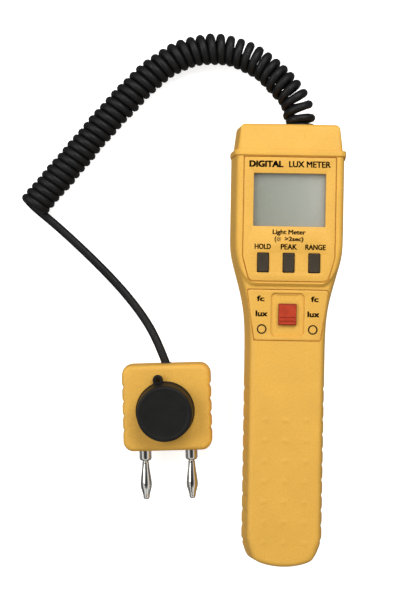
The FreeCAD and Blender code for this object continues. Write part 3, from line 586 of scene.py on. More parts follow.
def half_width(y, inset):
    """Half the case's width at a place along it, drawn in by inset."""
    side = GRIP_HALF - inset + NECK_SLOPE * (soft_ramp(y - NECK_FOOT, NECK_FOOT_SOFT)
                                             - soft_ramp(y - NECK_TOP, NECK_TOP_SOFT))
    side -= HEEL_SLOPE * soft_ramp(HEEL_SIDE + inset - y, HEEL_SIDE_SOFT)
    centre = HEEL_FOOT + HEEL_RADIUS
    reach = HEEL_RADIUS - inset
    depth = centre - y
    if depth < 0:
        return side
    arc = math.sqrt(max(0.0, reach ** 2 - depth ** 2))
    if arc >= 30:
        return side
    return -HEEL_SOFT * math.log(math.exp(-side / HEEL_SOFT) + math.exp(-arc / HEEL_SOFT))


def spaced(path, count):
    """count + 1 evenly spaced points along a line of points."""
    reach = [0.0]
    for here, there in zip(path, path[1:]):
        reach.append(reach[-1] + math.dist(here, there))
    spots, piece = [], 0
    for step in range(count + 1):
        wanted = reach[-1] * step / count
        while piece < len(path) - 2 and reach[piece + 1] < wanted:
            piece += 1
        share = (wanted - reach[piece]) / (reach[piece + 1] - reach[piece])
        spots.append(tuple(a + (b - a) * share for a, b in zip(path[piece], path[piece + 1])))
    return spots


def case_edges(inset):
    """The right half of the heel's edge, and the case's right side, drawn in by inset."""
    foot, turn = HEEL_FOOT + inset, HEEL_TURN + inset * 0.9
    heel_ys = [foot + (turn - foot) * (step / 40) ** 2 for step in range(41)]
    side_ys = [turn + (HEAD_END - turn) * (step / 700) for step in range(701)]
    heel = [(0.0, foot)] + [(half_width(y, inset), y) for y in heel_ys[1:]]
    side = [(half_width(y, inset), y) for y in side_ys]
    rows = round((HEAD_END - HEEL_TURN) / ROW_STEP)
    return spaced(heel, COLUMNS // 2), spaced(side, rows)


def rim(inset):
    """The case's edge in plan from the head's left corner, round the heel, to its right one."""
    heel, side = case_edges(inset)
    right = heel[1:] + side[1:]
    return [(-x, y) for x, y in reversed(right)] + heel[:1] + right


def face_grid(inset):
    """Rows of points across the flat face, curved like the heel at its foot."""
    heel, side = case_edges(inset)
    foot = [(-x, y) for x, y in reversed(heel[1:])] + heel
    corner_x, corner_y = side[0]
    rows = []
    for edge_x, edge_y in side[1:]:
        share = max(0.0, 1 - (edge_y - corner_y) / HEEL_BLEND) ** 2
        row = []
        for number in range(1, COLUMNS):
            across = 2 * number / COLUMNS - 1
            foot_x, foot_y = foot[number]
            row.append((across * edge_x + share * (foot_x - across * corner_x),
                        edge_y + share * (foot_y - corner_y)))
        rows.append(row)
    return rows


def groove(y):
    """How deep the finger grooves cut into the grip's sides at a place along it."""
    number = round((GROOVE_FIRST - y) / GROOVE_PITCH)
    if not 0 <= number < GROOVES:
        return 0.0
    away = abs(y - GROOVE_FIRST + number * GROOVE_PITCH) / GROOVE_HALF
    deeper = 0.6 + 0.4 * number / GROOVES
    return GROOVE_DEPTH * deeper * math.exp(-away * away)


def pip(x, y):
    """How far the grip's raised pips stand out of its face."""
    rise = 0.0
    for column in PIP_COLUMNS:
        number = min(PIP_ROWS - 1, max(0, round((PIP_FIRST - y) / PIP_PITCH)))
        away = ((x - column) / PIP_WIDE) ** 2
        away += ((y - PIP_FIRST + number * PIP_PITCH) / PIP_TALL) ** 2
        rise = max(rise, PIP_RISE * ease(1.25 * (1 - away)))
    return rise


def head_share(x, y):
    """Zero on the grip and one on the head; the step between them curls up at the sides."""
    line = STEP_LINE + STEP_CURL * max(0.0, abs(x) - STEP_STRAIGHT) ** 2
    return ease((y - line) / STEP_RUN + 0.5)


def shell_skin(draft, edge, thickness, rise, details):
    """One skin of a shell: rings up its wall and round its edge, then rows across its face.

    Heights are measured from the parting plane. Returns the points, the numbers of each
    ring and of each row of the face with its ends.
    """
    top = SHELL_HEIGHT - thickness
    steps = [(draft * share, (top - edge) * share) for share in
             (0.0, 0.08, 0.25, 0.42, 0.58, 0.75, 0.9, 1.0)]
    for step in range(1, 7):
        angle = math.pi / 2 * step / 6
        steps.append((draft + edge * (1 - math.cos(angle)), top - edge * (1 - math.sin(angle))))
    points, rings = [], []
    for level, (inset, height) in enumerate(steps):
        ring = []
        for x, y in rim(inset + thickness):
            if details:
                fade = ease((SHELL_HEIGHT - height) / 3.0 - 0.3)
                x -= math.copysign(groove(y) * fade, x) if abs(x) > 12 else 0.0
            ring.append(len(points))
            points.append((x, y, height * (1 + rise * head_share(x, y) / SHELL_HEIGHT)))
        rings.append(ring)
    rows = []
    count = len(rings[-1])
    side_rows = (count - COLUMNS - 1) // 2
    for number, row in enumerate(face_grid(draft + edge + thickness)):
        left, right = rings[-1][side_rows - 1 - number], rings[-1][side_rows + COLUMNS + 1 + number]
        inner = []
        for x, y in row:
            height = top + rise * head_share(x, y) * top / SHELL_HEIGHT
            height += pip(x, y) if details else 0.0
            inner.append(len(points))
            points.append((x, y, height))
        rows.append([left, *inner, right])
    rows.insert(0, rings[-1][side_rows:side_rows + COLUMNS + 1])
    return points, rings, rows


def case_shell(name, draft, edge, rise, upwards):
    """A closed shell: an outer skin with its details, a plain inner one, and the rims between."""
    outer, rings, rows = shell_skin(draft, edge, 0.0, rise, True)
    inner, _, _ = shell_skin(draft, edge * 0.5, WALL, rise, False)
    shift = len(outer)
    faces = strips(rings, closed=False) + strips(rows, closed=False)
    faces += [tuple(number + shift for number in reversed(face)) for face in faces]
    parting = rings[0]
    ends = [ring[0] for ring in rings] + rows[-1][1:] + [ring[-1] for ring in reversed(rings)][1:]
    for line in (list(reversed(parting)), ends):
        for here, there in zip(line, line[1:]):
            faces.append((here, there, there + shift, here + shift))
    sign = 1 if upwards else -1
    points = [(x, y, SPLIT + sign * z) for x, y, z in outer + inner]
    if not upwards:
        faces = [tuple(reversed(face)) for face in faces]
    return mesh_object(name, points, faces)


# The two panels, the slider's well, the keys, the window and the screws, all in plan.
LABEL_TOP, LABEL_HALF, LABEL_NECK, LABEL_FOOT_HALF, LABEL_FOOT = 75.2, 18.2, 35.4, 15.5, 26.0
SWITCH_PANEL = [(13.1, 2.4), (16.1, 22.4)]
WELL_HALF, WELL_TALL_HALF, WELL_CORNER, WELL_FLOOR = 6.5, 8.5, 1.7, 26.9
WELL_FLOOR_HALF, WELL_FLOOR_TALL_HALF = 4.4, 7.8
PANEL_GAP, PANEL_SINK = 0.38, 0.8
KEY_HALF, KEY_TALL_HALF, KEY_GAP = 2.2, 3.75, 0.2
WINDOW_HALF, WINDOW_TALL_HALF = 14.4, 10.6
SCREW_SPOTS = [(-16.9, 35.5), (16.9, 35.5), (0.0, -14.0)]


def display_panel_outline(grow):
    corners = mirrored([(LABEL_FOOT_HALF + grow, LABEL_FOOT - grow), (LABEL_HALF + grow, LABEL_NECK),
                        (LABEL_HALF + grow, LABEL_TOP + grow)])
    return rounded_outline(corners, [2.4, 5.0, 0.5, 0.5, 5.0, 2.4])


def switch_panel_outline(grow):
    (foot_half, foot), (top_half, top) = SWITCH_PANEL
    corners = mirrored([(foot_half + grow, foot - grow), (top_half + grow, top + grow)])
    return rounded_outline(corners, [0.8] * 4)


def key_centres():
    """The middle of each key in plan, from its CAD node."""
    return {node: plan_middle(node) for node in ("button_hold", "button_peak", "button_range")}


def key_holes():
    """The outline of each key's hole."""
    return [rounded_box(x, y, KEY_HALF + KEY_GAP, KEY_TALL_HALF + KEY_GAP, 0.35)
            for x, y in key_centres().values()]


def make_front_shell():
    shell = case_shell("case_front", 1.7, 2.0, HEAD_RISE, True)
    _, top = cad_span("display_label")
    face = top.z
    well_x, well_y = plan_middle("switch_knob")
    grip_face = SPLIT + SHELL_HEIGHT
    blocks = [prism("block", box_corners(well_x, well_y, 8.7, 10.4), 22.8, grip_face - 0.6)]
    blocks += [prism("block", circle(x, y, 2.6), SPLIT + 0.05, grip_face - 0.9)
               for x, y in SCREW_SPOTS]
    boolean(shell, "UNION", blocks)
    window = box_corners(*plan_middle("lcd_window"), WINDOW_HALF, WINDOW_TALL_HALF)
    tools = [
        prism("cut", display_panel_outline(PANEL_GAP), face - PANEL_SINK, face + 2.0),
        prism("cut", switch_panel_outline(PANEL_GAP), grip_face - PANEL_SINK, grip_face + 2.0),
        prism("cut", window, face - 6.0, face + 2.5),
        prism("cut", rounded_box(well_x, well_y, WELL_FLOOR_HALF, WELL_FLOOR_TALL_HALF, 0.9),
              WELL_FLOOR, grip_face, rounded_box(well_x, well_y, WELL_HALF, WELL_TALL_HALF,
                                                 WELL_CORNER)),
        prism("cut", rounded_box(well_x, well_y, WELL_HALF, WELL_TALL_HALF, WELL_CORNER),
              grip_face - 0.01, grip_face + 2.0),
        prism("cut", box_corners(well_x, well_y, 1.7, 4.0), 21.0, WELL_FLOOR + 0.5),
    ]
    tools += [prism("cut", hole, face - 6.0, face + 2.5) for hole in key_holes()]
    boolean(shell, "DIFFERENCE", tools)
    even_normals(shell)
    dress(shell, "meter", "yellow_case", "front_shell")


DOOR_HALF, DOOR_TOP, DOOR_LOW, DOOR_HIGH = 12.8, -33.7, 0.3, 2.2


def make_rear_shell():
    shell = case_shell("case_rear", 1.0, 1.6, 0.0, False)
    blocks = [prism("block", circle(x, y, 2.9), 0.9, SPLIT - 0.05) for x, y in SCREW_SPOTS]
    blocks.append(prism("block", box_corners(0, -30.2, 13.9, 0.7), 0.9, SPLIT - 0.5))
    boolean(shell, "UNION", blocks)
    bay_middle, bay_half = (DOOR_TOP + 0.3 - 95.0) / 2, (DOOR_TOP + 0.3 + 95.0) / 2
    tools = [prism("cut", box_corners(0, bay_middle, DOOR_HALF + 0.3, bay_half), -1.0, 2.5),
             prism("cut", box_corners(0, bay_middle, DOOR_HALF + 1.5, bay_half), 1.1, 2.6)]
    for x, y in SCREW_SPOTS:
        tools.append(prism("cut", circle(x, y, 2.2), -1.0, 7.0))
        tools.append(prism("cut", circle(x, y, 1.3, 24), 6.5, SPLIT + 1.0))
    boolean(shell, "DIFFERENCE", tools)
    even_normals(shell)
    dress(shell, "meter", "yellow_case", "rear_shell")


def make_battery_door():
    """The sliding door: a plate with side tongues, an arched end and raised finger bars."""
    arch = HEEL_RADIUS - 1.3
    drop = arch - math.sqrt(arch ** 2 - DOOR_HALF ** 2)
    low, _ = cad_span("battery_door")
    across = [DOOR_HALF * (step / 12 - 1) for step in range(25)]
    end = [(x, low.y + arch - math.sqrt(arch ** 2 - x ** 2)) for x in across]
    outline = end + [(DOOR_HALF, DOOR_TOP), (-DOOR_HALF, DOOR_TOP)]
    tongue = box_corners(0, (DOOR_TOP + low.y + drop + 1.5) / 2, DOOR_HALF + 1.15,
                         (DOOR_TOP - low.y - drop - 1.5) / 2)
    door = plate("battery_cover_plate", [outline], DOOR_LOW, DOOR_HIGH, 0.25)
    boolean(door, "UNION", [prism("block", tongue, DOOR_LOW + 1.12, DOOR_HIGH - 0.05)])
    bars = [prism("cut", rounded_box(0, -40.0 - 2.2 * number, 6.0, 0.55, 0.5), DOOR_LOW - 0.5,
                  DOOR_LOW + 0.4) for number in range(4)]
    arrow = [(-3.2, -53.0), (0.0, -56.5), (3.2, -53.0), (1.2, -53.0), (1.2, -48.5), (-1.2, -48.5),
             (-1.2, -53.0)]
    bars.append(prism("cut", arrow, DOOR_LOW - 0.5, DOOR_LOW + 0.25))
    boolean(door, "DIFFERENCE", bars)
    dress(door, "battery_cover", "yellow_case", "battery_door")


# ---------------------------------------------------------------- end cap and grommet

def end_section(half, low, high, shoulder, inset, y):
    """A ring of the cap's six-sided cross-section, drawn in by inset."""
    corners = mirrored([(half - 0.9 - inset, low + inset), (half - inset, SPLIT),
                        (half - shoulder - inset, high - inset)])
    soft = max(0.5, 3.0 - inset)
    outline = rounded_outline(corners, [soft, 6.0, soft, soft, 6.0, soft], 5)
    return [(x, y, z) for x, z in reversed(outline)]


def make_end_cap():
    low, high = cad_span("end_cap")
    foot, end = HEAD_END + 0.03, high.y
    bead = (23.65, 0.0, high.z, 1.5)
    bead_end = foot + BEAD_WIDTH
    rings = [end_section(*bead, inset, y) for inset, y in
             ((0.5, foot), (0.12, foot + 0.2), (0.0, foot + 0.6), (0.0, bead_end - 0.5),
              (0.15, bead_end - 0.15), (0.5, bead_end))]
    body_inset = 1.25
    taper, edge = 1.0, 2.2
    rings.append(end_section(*bead, body_inset, bead_end + 0.02))
    for share in (0.04, 0.5, 1.0):
        y = bead_end + (end - edge - bead_end) * share
        rings.append(end_section(*bead, body_inset + taper * share, y))
    for step in range(1, 7):
        angle = math.pi / 2 * step / 6
        inset = body_inset + taper + edge * (1 - math.cos(angle))
        rings.append(end_section(*bead, inset, end - edge * (1 - math.sin(angle))))
    rings.append(end_section(*bead, body_inset + taper + edge + 0.6, end))
    cap = loft("case_end_cap", rings)
    hollow = [end_section(*bead, 3.4, foot - 1.0), end_section(*bead, 4.3, end - 2.0)]
    x, _ = plan_middle("cord_grommet")
    bore = lying_cylinder(x, SPLIT, 4.6, 80.0, end + 3.0, 40)
    boolean(cap, "DIFFERENCE", [loft("cut", hollow), bore])
    even_normals(cap)
    dress(cap, "meter", "yellow_case", "end_cap")


def make_grommet():
    x, _ = plan_middle("cord_grommet")
    _, high = cad_span("cord_grommet")
    profile = [(1.9, -6.1), (5.2, -6.1), (5.2, -3.8), (4.4, -3.7), (4.4, -1.5), (6.2, -1.5),
               (6.3, -1.4), (6.3, -0.6), (6.1, -0.25), (5.6, 0.0), (2.6, 0.0), (1.9, -0.3)]
    bush = lathe("cord_bush", profile, along="y")
    bush.data.transform(Matrix.Translation(Vector((x, high.y, SPLIT)) * MM))
    dress(bush, "meter", "black_rubber", "cord_grommet")


# ---------------------------------------------------------------- panels, print and display

PRINT_DEPTH = 0.05


def printed(text, x, y, width, height, base, weight=0.06):
    """Raised lettering that fills a box about (x, y), struck again weight to each side of it."""
    curve = bpy.data.curves.new("text", "FONT")
    curve.body = text
    curve.resolution_u = 3
    curve.extrude = 0.01
    mesh = take_mesh(add_object("text", curve))
    xs = [vertex.co.x for vertex in mesh.vertices]
    ys = [vertex.co.y for vertex in mesh.vertices]
    wide, tall = max(xs) - min(xs), max(ys) - min(ys)
    for vertex in mesh.vertices:
        vertex.co.x = (x + (vertex.co.x - (max(xs) + min(xs)) / 2) * width / wide) * MM
        vertex.co.y = (y + (vertex.co.y - (max(ys) + min(ys)) / 2) * height / tall) * MM
        vertex.co.z = (base + PRINT_DEPTH * (1 if vertex.co.z > 0 else 0)) * MM
    strikes = []
    for across, along in ((-1, -0.6), (1, -0.6), (-1, 0.6), (1, 0.6)):
        strike = add_object("text", mesh.copy())
        strike.data.transform(Matrix.Translation(Vector((across, along, 0)) * weight * MM))
        strikes.append(strike)
    return strikes


def ring_mark(x, y, radius, width, base):
    return plate("mark", [circle(x, y, radius), circle(x, y, radius - width)], base,
                 base + PRINT_DEPTH)


def sun_mark(x, y, base):
    """A small lamp symbol: a ring with eight rays."""
    marks = [ring_mark(x, y, 0.58, 0.26, base)]
    for number in range(8):
        turned = Matrix.Rotation(math.pi / 4 * number, 2)
        ray = [turned @ Vector(spot) + Vector((x, y)) for spot in box_corners(0.85, 0, 0.17, 0.11)]
        marks.append(prism("mark", [tuple(spot) for spot in ray], base, base + PRINT_DEPTH))
    return marks


def ink(name, marks):
    """Join a panel's printed marks into one piece of black ink."""
    obj = merge(name, marks)
    paint(obj, INK)
    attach(obj, "meter")


def make_panels():
    _, top = cad_span("display_label")
    window = rounded_box(*plan_middle("lcd_window"), WINDOW_HALF, WINDOW_TALL_HALF, 0.35)
    panel = plate("display_panel", [display_panel_outline(0.0), window, *key_holes()],
                  top.z - PANEL_SINK + 0.02, top.z, 0.1)
    dress(panel, "meter", "panel_film", "display_label")
    base = top.z - 0.01
    marks = [
        *printed("DIGITAL", -9.5, 72.5, 13.2, 2.4, base, 0.2),
        *printed("LUX METER", 7.8, 72.5, 16.4, 2.35, base, 0.11),
        *printed("Light Meter", 0.0, 45.2, 13.0, 2.3, base, 0.1),
        *printed("(", -5.4, 42.5, 0.6, 2.3, base, 0.08),
        *sun_mark(-4.1, 42.6, base),
        *printed(">2sec)", 2.0, 42.5, 7.3, 2.2, base, 0.1),
        *printed("HOLD", -10.4, 39.6, 6.3, 2.05, base, 0.1),
        *printed("PEAK", 0.0, 39.6, 6.3, 2.05, base, 0.1),
        *printed("RANGE", 10.6, 39.6, 8.0, 2.05, base, 0.1),
    ]
    ink("display_print", marks)
    _, top = cad_span("switch_label")
    well = rounded_box(*plan_middle("switch_knob"), WELL_HALF + 0.25, WELL_TALL_HALF + 0.25, 1.9)
    panel = plate("switch_panel", [switch_panel_outline(0.0), well], top.z - PANEL_SINK + 0.02,
                  top.z, 0.1)
    dress(panel, "meter", "panel_film", "switch_label")
    base = top.z - 0.01
    marks = []
    for side in (-1, 1):
        marks += printed("fc", side * 10.8, 18.9, 2.8, 2.1, base, 0.15)
        marks += printed("lux", side * 10.35, 12.9, 4.5, 2.2, base, 0.15)
        marks.append(ring_mark(side * 10.2, 6.7, 1.95, 0.55, base))
    ink("switch_print", marks)


def make_display():
    for node, name, slot in (("lcd_window", "window_pane", "clear_window"),
                             ("lcd_glass", "display_glass", "display_cell")):
        low, high = cad_span(node)
        middle, half = (low + high) / 2, (high - low) / 2
        outline = rounded_box(middle.x, middle.y, half.x, half.y, 0.5)
        dress(plate(name, [outline], low.z, high.z, 0.12), "meter", slot, node)


def make_keys():
    for node, (x, y) in key_centres().items():
        low, high = cad_span(node)

        def outline_at(inset):
            return rounded_box(x, y, KEY_HALF - inset, KEY_TALL_HALF - inset, 0.7 - inset * 0.7)

        key = soft_block(node.replace("button", "key"), outline_at, low.z + 1.1, high.z, 0.38, -0.12)
        boolean(key, "UNION", [prism("block", rounded_box(x, y, KEY_HALF + 1.0, KEY_TALL_HALF + 0.9,
                                                          0.5), low.z, low.z + 1.2)])
        even_normals(key)
        dress(key, node.replace("button_", "") + "_key", "key_grey", node)


KNOB_HALF, KNOB_TALL_HALF, KNOB_BAR_DROP = 3.65, 4.3, 2.1


def make_mode_knob():
    """The red slider: a block with a raised grip bar across its lower part."""
    x, y = plan_middle("switch_knob")
    low, high = cad_span("switch_knob")
    foot, top = WELL_FLOOR + 0.2, high.z
    block_y = y + KNOB_SHIFT

    def outline_at(inset):
        return rounded_box(x, block_y, KNOB_HALF - inset, KNOB_TALL_HALF - inset, 0.5 - inset * 0.5)

    knob = soft_block("mode_slider", outline_at, foot, top - 0.15, 0.3)
    bar_y = block_y - KNOB_BAR_DROP
    bar = prism("block", box_corners(x, bar_y, 3.3, 0.5), top - 0.8, top,
                box_corners(x, bar_y, 3.2, 0.22))
    stem = prism("block", box_corners(x, y, 1.3, 0.9), low.z, foot + 0.3)
    boolean(knob, "UNION", [bar, stem])
    slots = [prism("cut", box_corners(x, bar_y + side * 0.85, 3.2, 0.16), top - 0.5, top + 0.5)
             for side in (-1, 1)]
    boolean(knob, "DIFFERENCE", slots)
    even_normals(knob)
    dress(knob, "mode_knob", "knob_red", "switch_knob")


# ---------------------------------------------------------------- sensor head

# The head's turn on the table, its half sizes, its parting plane and the lens cap's middle.
SENSOR_TURN = math.radians(2.5)
SENSOR_HALF, SENSOR_TALL_HALF, SENSOR_CORNER, SENSOR_SPLIT = 18.4, 17.9, 4.5, 8.5
SENSOR_POSTS = [(-14.0, -13.5), (14.0, -13.5), (-14.0, 13.5), (14.0, 13.5)]
EYE = (-0.6, -1.1)
CAP_LEAN = Vector((0.03, 0.1))
SENSOR_GROOVES, SENSOR_GROOVE_DEPTH, SENSOR_GROOVE_HALF = (-9.0, -3.1, 2.8, 8.7), 0.7, 0.75
PLUG_X = 19.05 / 2


def sensor_home():
    """The head's place: it is drawn about its own middle, then turned a little."""
    low, high = cad_span("sensor_rear_shell")
    middle = (low + high) / 2
    place = Matrix.Translation(Vector((middle.x, middle.y, 0)) * MM)
    return place @ Matrix.Rotation(SENSOR_TURN, 4, "Z")


def sensor_rim(inset, fade):
    """The head's outline in plan with the same number of points at any inset."""
    half, tall, corner = SENSOR_HALF - inset, SENSOR_TALL_HALF - inset, max(0.8, SENSOR_CORNER - inset)
    corner_steps, side_steps = 8, 56
    outline = []
    spots = rounded_box(0, 0, half, tall, corner, corner_steps)
    for index, here in enumerate(spots):
        there = spots[(index + 1) % len(spots)]
        outline.append(here)
        if (index + 1) % (corner_steps + 1) == 0:
            outline += [tuple(Vector(here).lerp(Vector(there), step / side_steps))
                        for step in range(1, side_steps)]
    grooved = []
    for x, y in outline:
        share = sum(math.exp(-((y - place) / SENSOR_GROOVE_HALF) ** 2) for place in SENSOR_GROOVES)
        if abs(x) > half - 0.4:
            x -= math.copysign(SENSOR_GROOVE_DEPTH * share * fade, x)
        grooved.append((x, y))
    return grooved


def sensor_shell(name, profile, inner):
    """A closed half shell from outer (inset, height, groove fade) steps and inner ones."""
    rings = [[(x, y, z) for x, y in sensor_rim(inset, fade)] for inset, z, fade in profile]
    hollow = [[(x, y, z) for x, y in sensor_rim(inset, 0.0)] for inset, z in inner]
    shell = loft(name, list(reversed(hollow)) + rings)
    return shell


def make_sensor_shells():
    _, high = cad_span("sensor_front_shell")
    top, edge = high.z, 2.0
    profile = [(0.0, SENSOR_SPLIT, 1.0), (0.1, SENSOR_SPLIT + 0.4, 1.0), (0.3, top - edge - 1.5, 1.0),
               (0.35, top - edge, 0.9)]
    for step in range(1, 8):
        angle = math.pi / 2 * step / 7
        profile.append((0.35 + edge * (1 - math.cos(angle)), top - edge * (1 - math.sin(angle)),
                        0.9 * (1 - step / 7)))
    profile.append((edge + 1.2, top, 0.0))
    inner = [(2.1, SENSOR_SPLIT), (2.3, top - 2.6), (2.9, top - 2.0)]
    shell = sensor_shell("sensor_front", profile, inner)
    posts = [prism("block", circle(x, y, 2.0), SENSOR_SPLIT + 0.05, top - 1.5)
             for x, y in SENSOR_POSTS]
    boolean(shell, "UNION", posts)
    tools = [prism("cut", circle(*EYE, 9.6, 72), SENSOR_SPLIT, top + 2.0)] + side_bores()
    boolean(shell, "DIFFERENCE", tools)
    finish_sensor_piece(shell, "sensor_head", "yellow_case", "sensor_front_shell")
    profile = [(0.0, SENSOR_SPLIT, 1.0), (0.1, SENSOR_SPLIT - 0.4, 1.0), (0.2, 1.4, 1.0)]
    for step in range(1, 6):
        angle = math.pi / 2 * step / 5
        profile.append((0.2 + 1.2 * (1 - math.cos(angle)), 1.2 * (1 - math.sin(angle)), 1 - step / 5))
    profile.append((2.0, 0.0, 0.0))
    inner = [(2.1, SENSOR_SPLIT), (2.2, 2.6), (2.8, 2.0)]
    shell = sensor_shell("sensor_rear", profile, inner)
    shell.data.flip_normals()
    posts = [prism("block", circle(x, y, 2.5), 0.9, SENSOR_SPLIT - 0.05)
             for x, y in SENSOR_POSTS]
    boolean(shell, "UNION", posts)
    tools = side_bores()
    for x, y in SENSOR_POSTS:
        tools.append(prism("cut", circle(x, y, 1.9), -1.0, 3.5))
        tools.append(prism("cut", circle(x, y, 1.2, 24), 3.0, SENSOR_SPLIT + 1.0))
    boolean(shell, "DIFFERENCE", tools)
    finish_sensor_piece(shell, "sensor_head", "yellow_case", "sensor_rear_shell")


def side_bores():
    """Bores through the two ends: one for the cord's bush and two for the plugs."""
    bores = [(0, 2.3, 15.0, 20.0), (-PLUG_X, 1.6, -20.0, -15.0), (PLUG_X, 1.6, -20.0, -15.0)]
    return [lying_cylinder(x, SENSOR_SPLIT, radius, start, end, 32)
            for x, radius, start, end in bores]


def finish_sensor_piece(piece, body, slot, *nodes):
    piece.data.transform(sensor_home())
    even_normals(piece)
    dress(piece, body, slot, *nodes)


def make_lens_cap():
    """The push-on cap, whose outside leans a little towards the plugs, with a lug and its hole."""
    profile = [(0, 25.5), (9.4, 25.5), (9.9, 25.0), (9.9, 18.4), (10.0, 18.3), (11.85, 18.3),
               (12.0, 18.45), (12.0, 19.5), (11.8, 19.75), (11.65, 19.9), (11.6, 20.1), (11.3, 24.5),
               (11.15, 26.3), (11.0, 26.7), (10.75, 26.92), (10.4, 27.0), (9.7, 27.0), (9.45, 26.9),
               (9.2, 26.86), (5.0, 26.86), (0, 26.86)]
    cap = lathe("lens_cover_cap", profile, segments=120)
    for vertex in cap.data.vertices:
        if vertex.co.xy.length < 9.95 * MM and vertex.co.z < 26.0 * MM:
            continue
        above = max(0.0, vertex.co.z - 19.5 * MM)
        vertex.co.x -= CAP_LEAN.x * above
        vertex.co.y -= CAP_LEAN.y * above
    angle, reach, half = math.radians(102.0), 12.9, 2.1
    middle = Vector((math.cos(angle), math.sin(angle))) * reach
    root = Vector((math.cos(angle), math.sin(angle))) * 10.6
    across = Vector((-math.sin(angle), math.cos(angle))) * half

    def lug_outline(inset):
        scale = (half - inset) / half
        spots = [root - across * scale]
        for step in range(17):
            turn = angle - math.pi / 2 + math.pi * step / 16
            spots.append(middle + Vector((math.cos(turn), math.sin(turn))) * half * scale)
        return [tuple(spot) for spot in spots + [root + across * scale]]

    lug = soft_block("lug", lug_outline, 18.3, 20.6, 0.5)
    boolean(cap, "UNION", [lug])
    boolean(cap, "DIFFERENCE", [prism("cut", circle(*middle, 0.85, 32), 17.0, 22.0)])
    cap.data.transform(Matrix.Translation(Vector((*EYE, 0)) * MM))
    finish_sensor_piece(cap, "lens_cover", "black_plastic", "lens_cap")


def make_plugs():
    """Banana plugs: a turned pin with a collar, and a sleeve of four bowed leaves round it."""
    reach = 38.4
    pin = [(0, -reach), (0.7, -reach + 0.06), (1.1, -reach + 0.35), (1.32, -reach + 0.85),
           (1.36, -reach + 1.5), (1.0, -reach + 1.8), (1.0, -22.95), (1.3, -22.5), (1.95, -22.2),
           (2.35, -21.85), (2.5, -21.3), (2.5, -18.0), (1.5, -17.95), (1.5, -12.0), (0, -12.0)]
    sleeve = [(-36.7, 1.36), (-36.0, 1.5), (-34.8, 1.85), (-33.6, 2.2), (-32.4, 2.36),
              (-31.2, 2.32), (-29.4, 2.1), (-27.4, 1.82), (-25.5, 1.56), (-23.8, 1.42), (-23.0, 1.4)]
    for side, place, turned in (("left", -PLUG_X, 0.0), ("right", PLUG_X, 0.6)):
        move = Matrix.Translation(Vector((place, 0, SENSOR_SPLIT)) * MM)
        body = lathe("plug_pin_" + side, pin, segments=48, along="y")
        body.data.transform(move)
        finish_sensor_piece(body, "sensor_head", "plug_chrome", "plug_" + side)
        leaves = banana_sleeve("plug_leaves_" + side, sleeve, turned)
        leaves.data.transform(move)
        finish_sensor_piece(leaves, "sensor_head", "plug_chrome", "plug_spring_" + side)


def banana_sleeve(name, profile, turned):
    """A thin sleeve whose four slots, two segments wide, leave bowed leaves between whole ends."""
    segments, fine = 64, []
    for (low_y, low_r), (high_y, high_r) in zip(profile, profile[1:]):
        fine += [(low_y + (high_y - low_y) * step / 3, low_r + (high_r - low_r) * step / 3)
                 for step in range(3)]
    fine.append(profile[-1])
    points = []
    for y, radius in fine:
        for step in range(segments):
            angle = 2 * math.pi * step / segments + turned
            points.append((radius * math.sin(angle), y, radius * math.cos(angle)))
    faces = []
    for row in range(len(fine) - 1):
        slotted = 2 < row < len(fine) - 4
        for step in range(segments):
            if slotted and step % (segments // 4) in (7, 8):
                continue
            there = (step + 1) % segments
            faces.append((row * segments + step, row * segments + there,
                          (row + 1) * segments + there, (row + 1) * segments + step))
    sleeve = mesh_object(name, points, faces)
    modifier = sleeve.modifiers.new("thickness", "SOLIDIFY")
    modifier.thickness = 0.22 * MM
    modifier.offset = -1.0
    bake_modifiers(sleeve)
    return sleeve


# ---------------------------------------------------------------- cord

CORD_WIDTH, TURN_RADIUS = 3.5, 4.75
TURNS, TURN_POINTS, FINE = 43, 14, 8
# Counted in turns: how long the coil takes to open, and where, how widely and how far the
# turns near the grommet are held back. Then the pitch's fall, as a share of its mean.
OPENING, HOLD_PLACE, HOLD_REACH, HOLD, PITCH_FALL = 0.36, 0.95, 0.42, 0.3, 0.13
COIL_ROUTE = [
    (4.6, 90.55, 14.0), (4.3, 98.3, 14.0), (-1.7, 106.4, 12.4), (-12.7, 117.5, 8.8),
    (-30.3, 123.6, 6.9), (-51.1, 117.7, 6.7), (-74.4, 92.9, 6.7), (-89.2, 74.3, 6.7),
    (-105.0, 55.5, 6.7),
]
TAIL_ROUTE = [
    (-93.4, 46.2, 1.95), (-79.0, 33.1, 1.95), (-67.6, 21.6, 1.95),
    (-58.9, 11.1, 3.2), (-52.6, 1.2, 7.4), (-48.5, -8.9, 8.5),
]


def nurbs_line(name, spots, width=0.0):
    """A smooth open line through the neighbourhood of spots, as thick as width."""
    curve = bpy.data.curves.new(name, "CURVE")
    curve.dimensions = "3D"
    curve.resolution_u = 6
    curve.bevel_depth = width / 2 * MM
    curve.bevel_resolution = 3
    curve.use_fill_caps = True
    spline = curve.splines.new("NURBS")
    spline.points.add(len(spots) - 1)
    for point, spot in zip(spline.points, spots):
        point.co = (*(Vector(spot) * MM), 1.0)
    spline.order_u = 3
    spline.use_endpoint_u = True
    return add_object(name, curve)


def line_points(spots):
    """Points in millimetres along the smooth line that spots control."""
    drawn = nurbs_line("route", spots)
    drawn.data.resolution_u = 24
    return [vertex.co / MM for vertex in take_mesh(drawn).vertices]


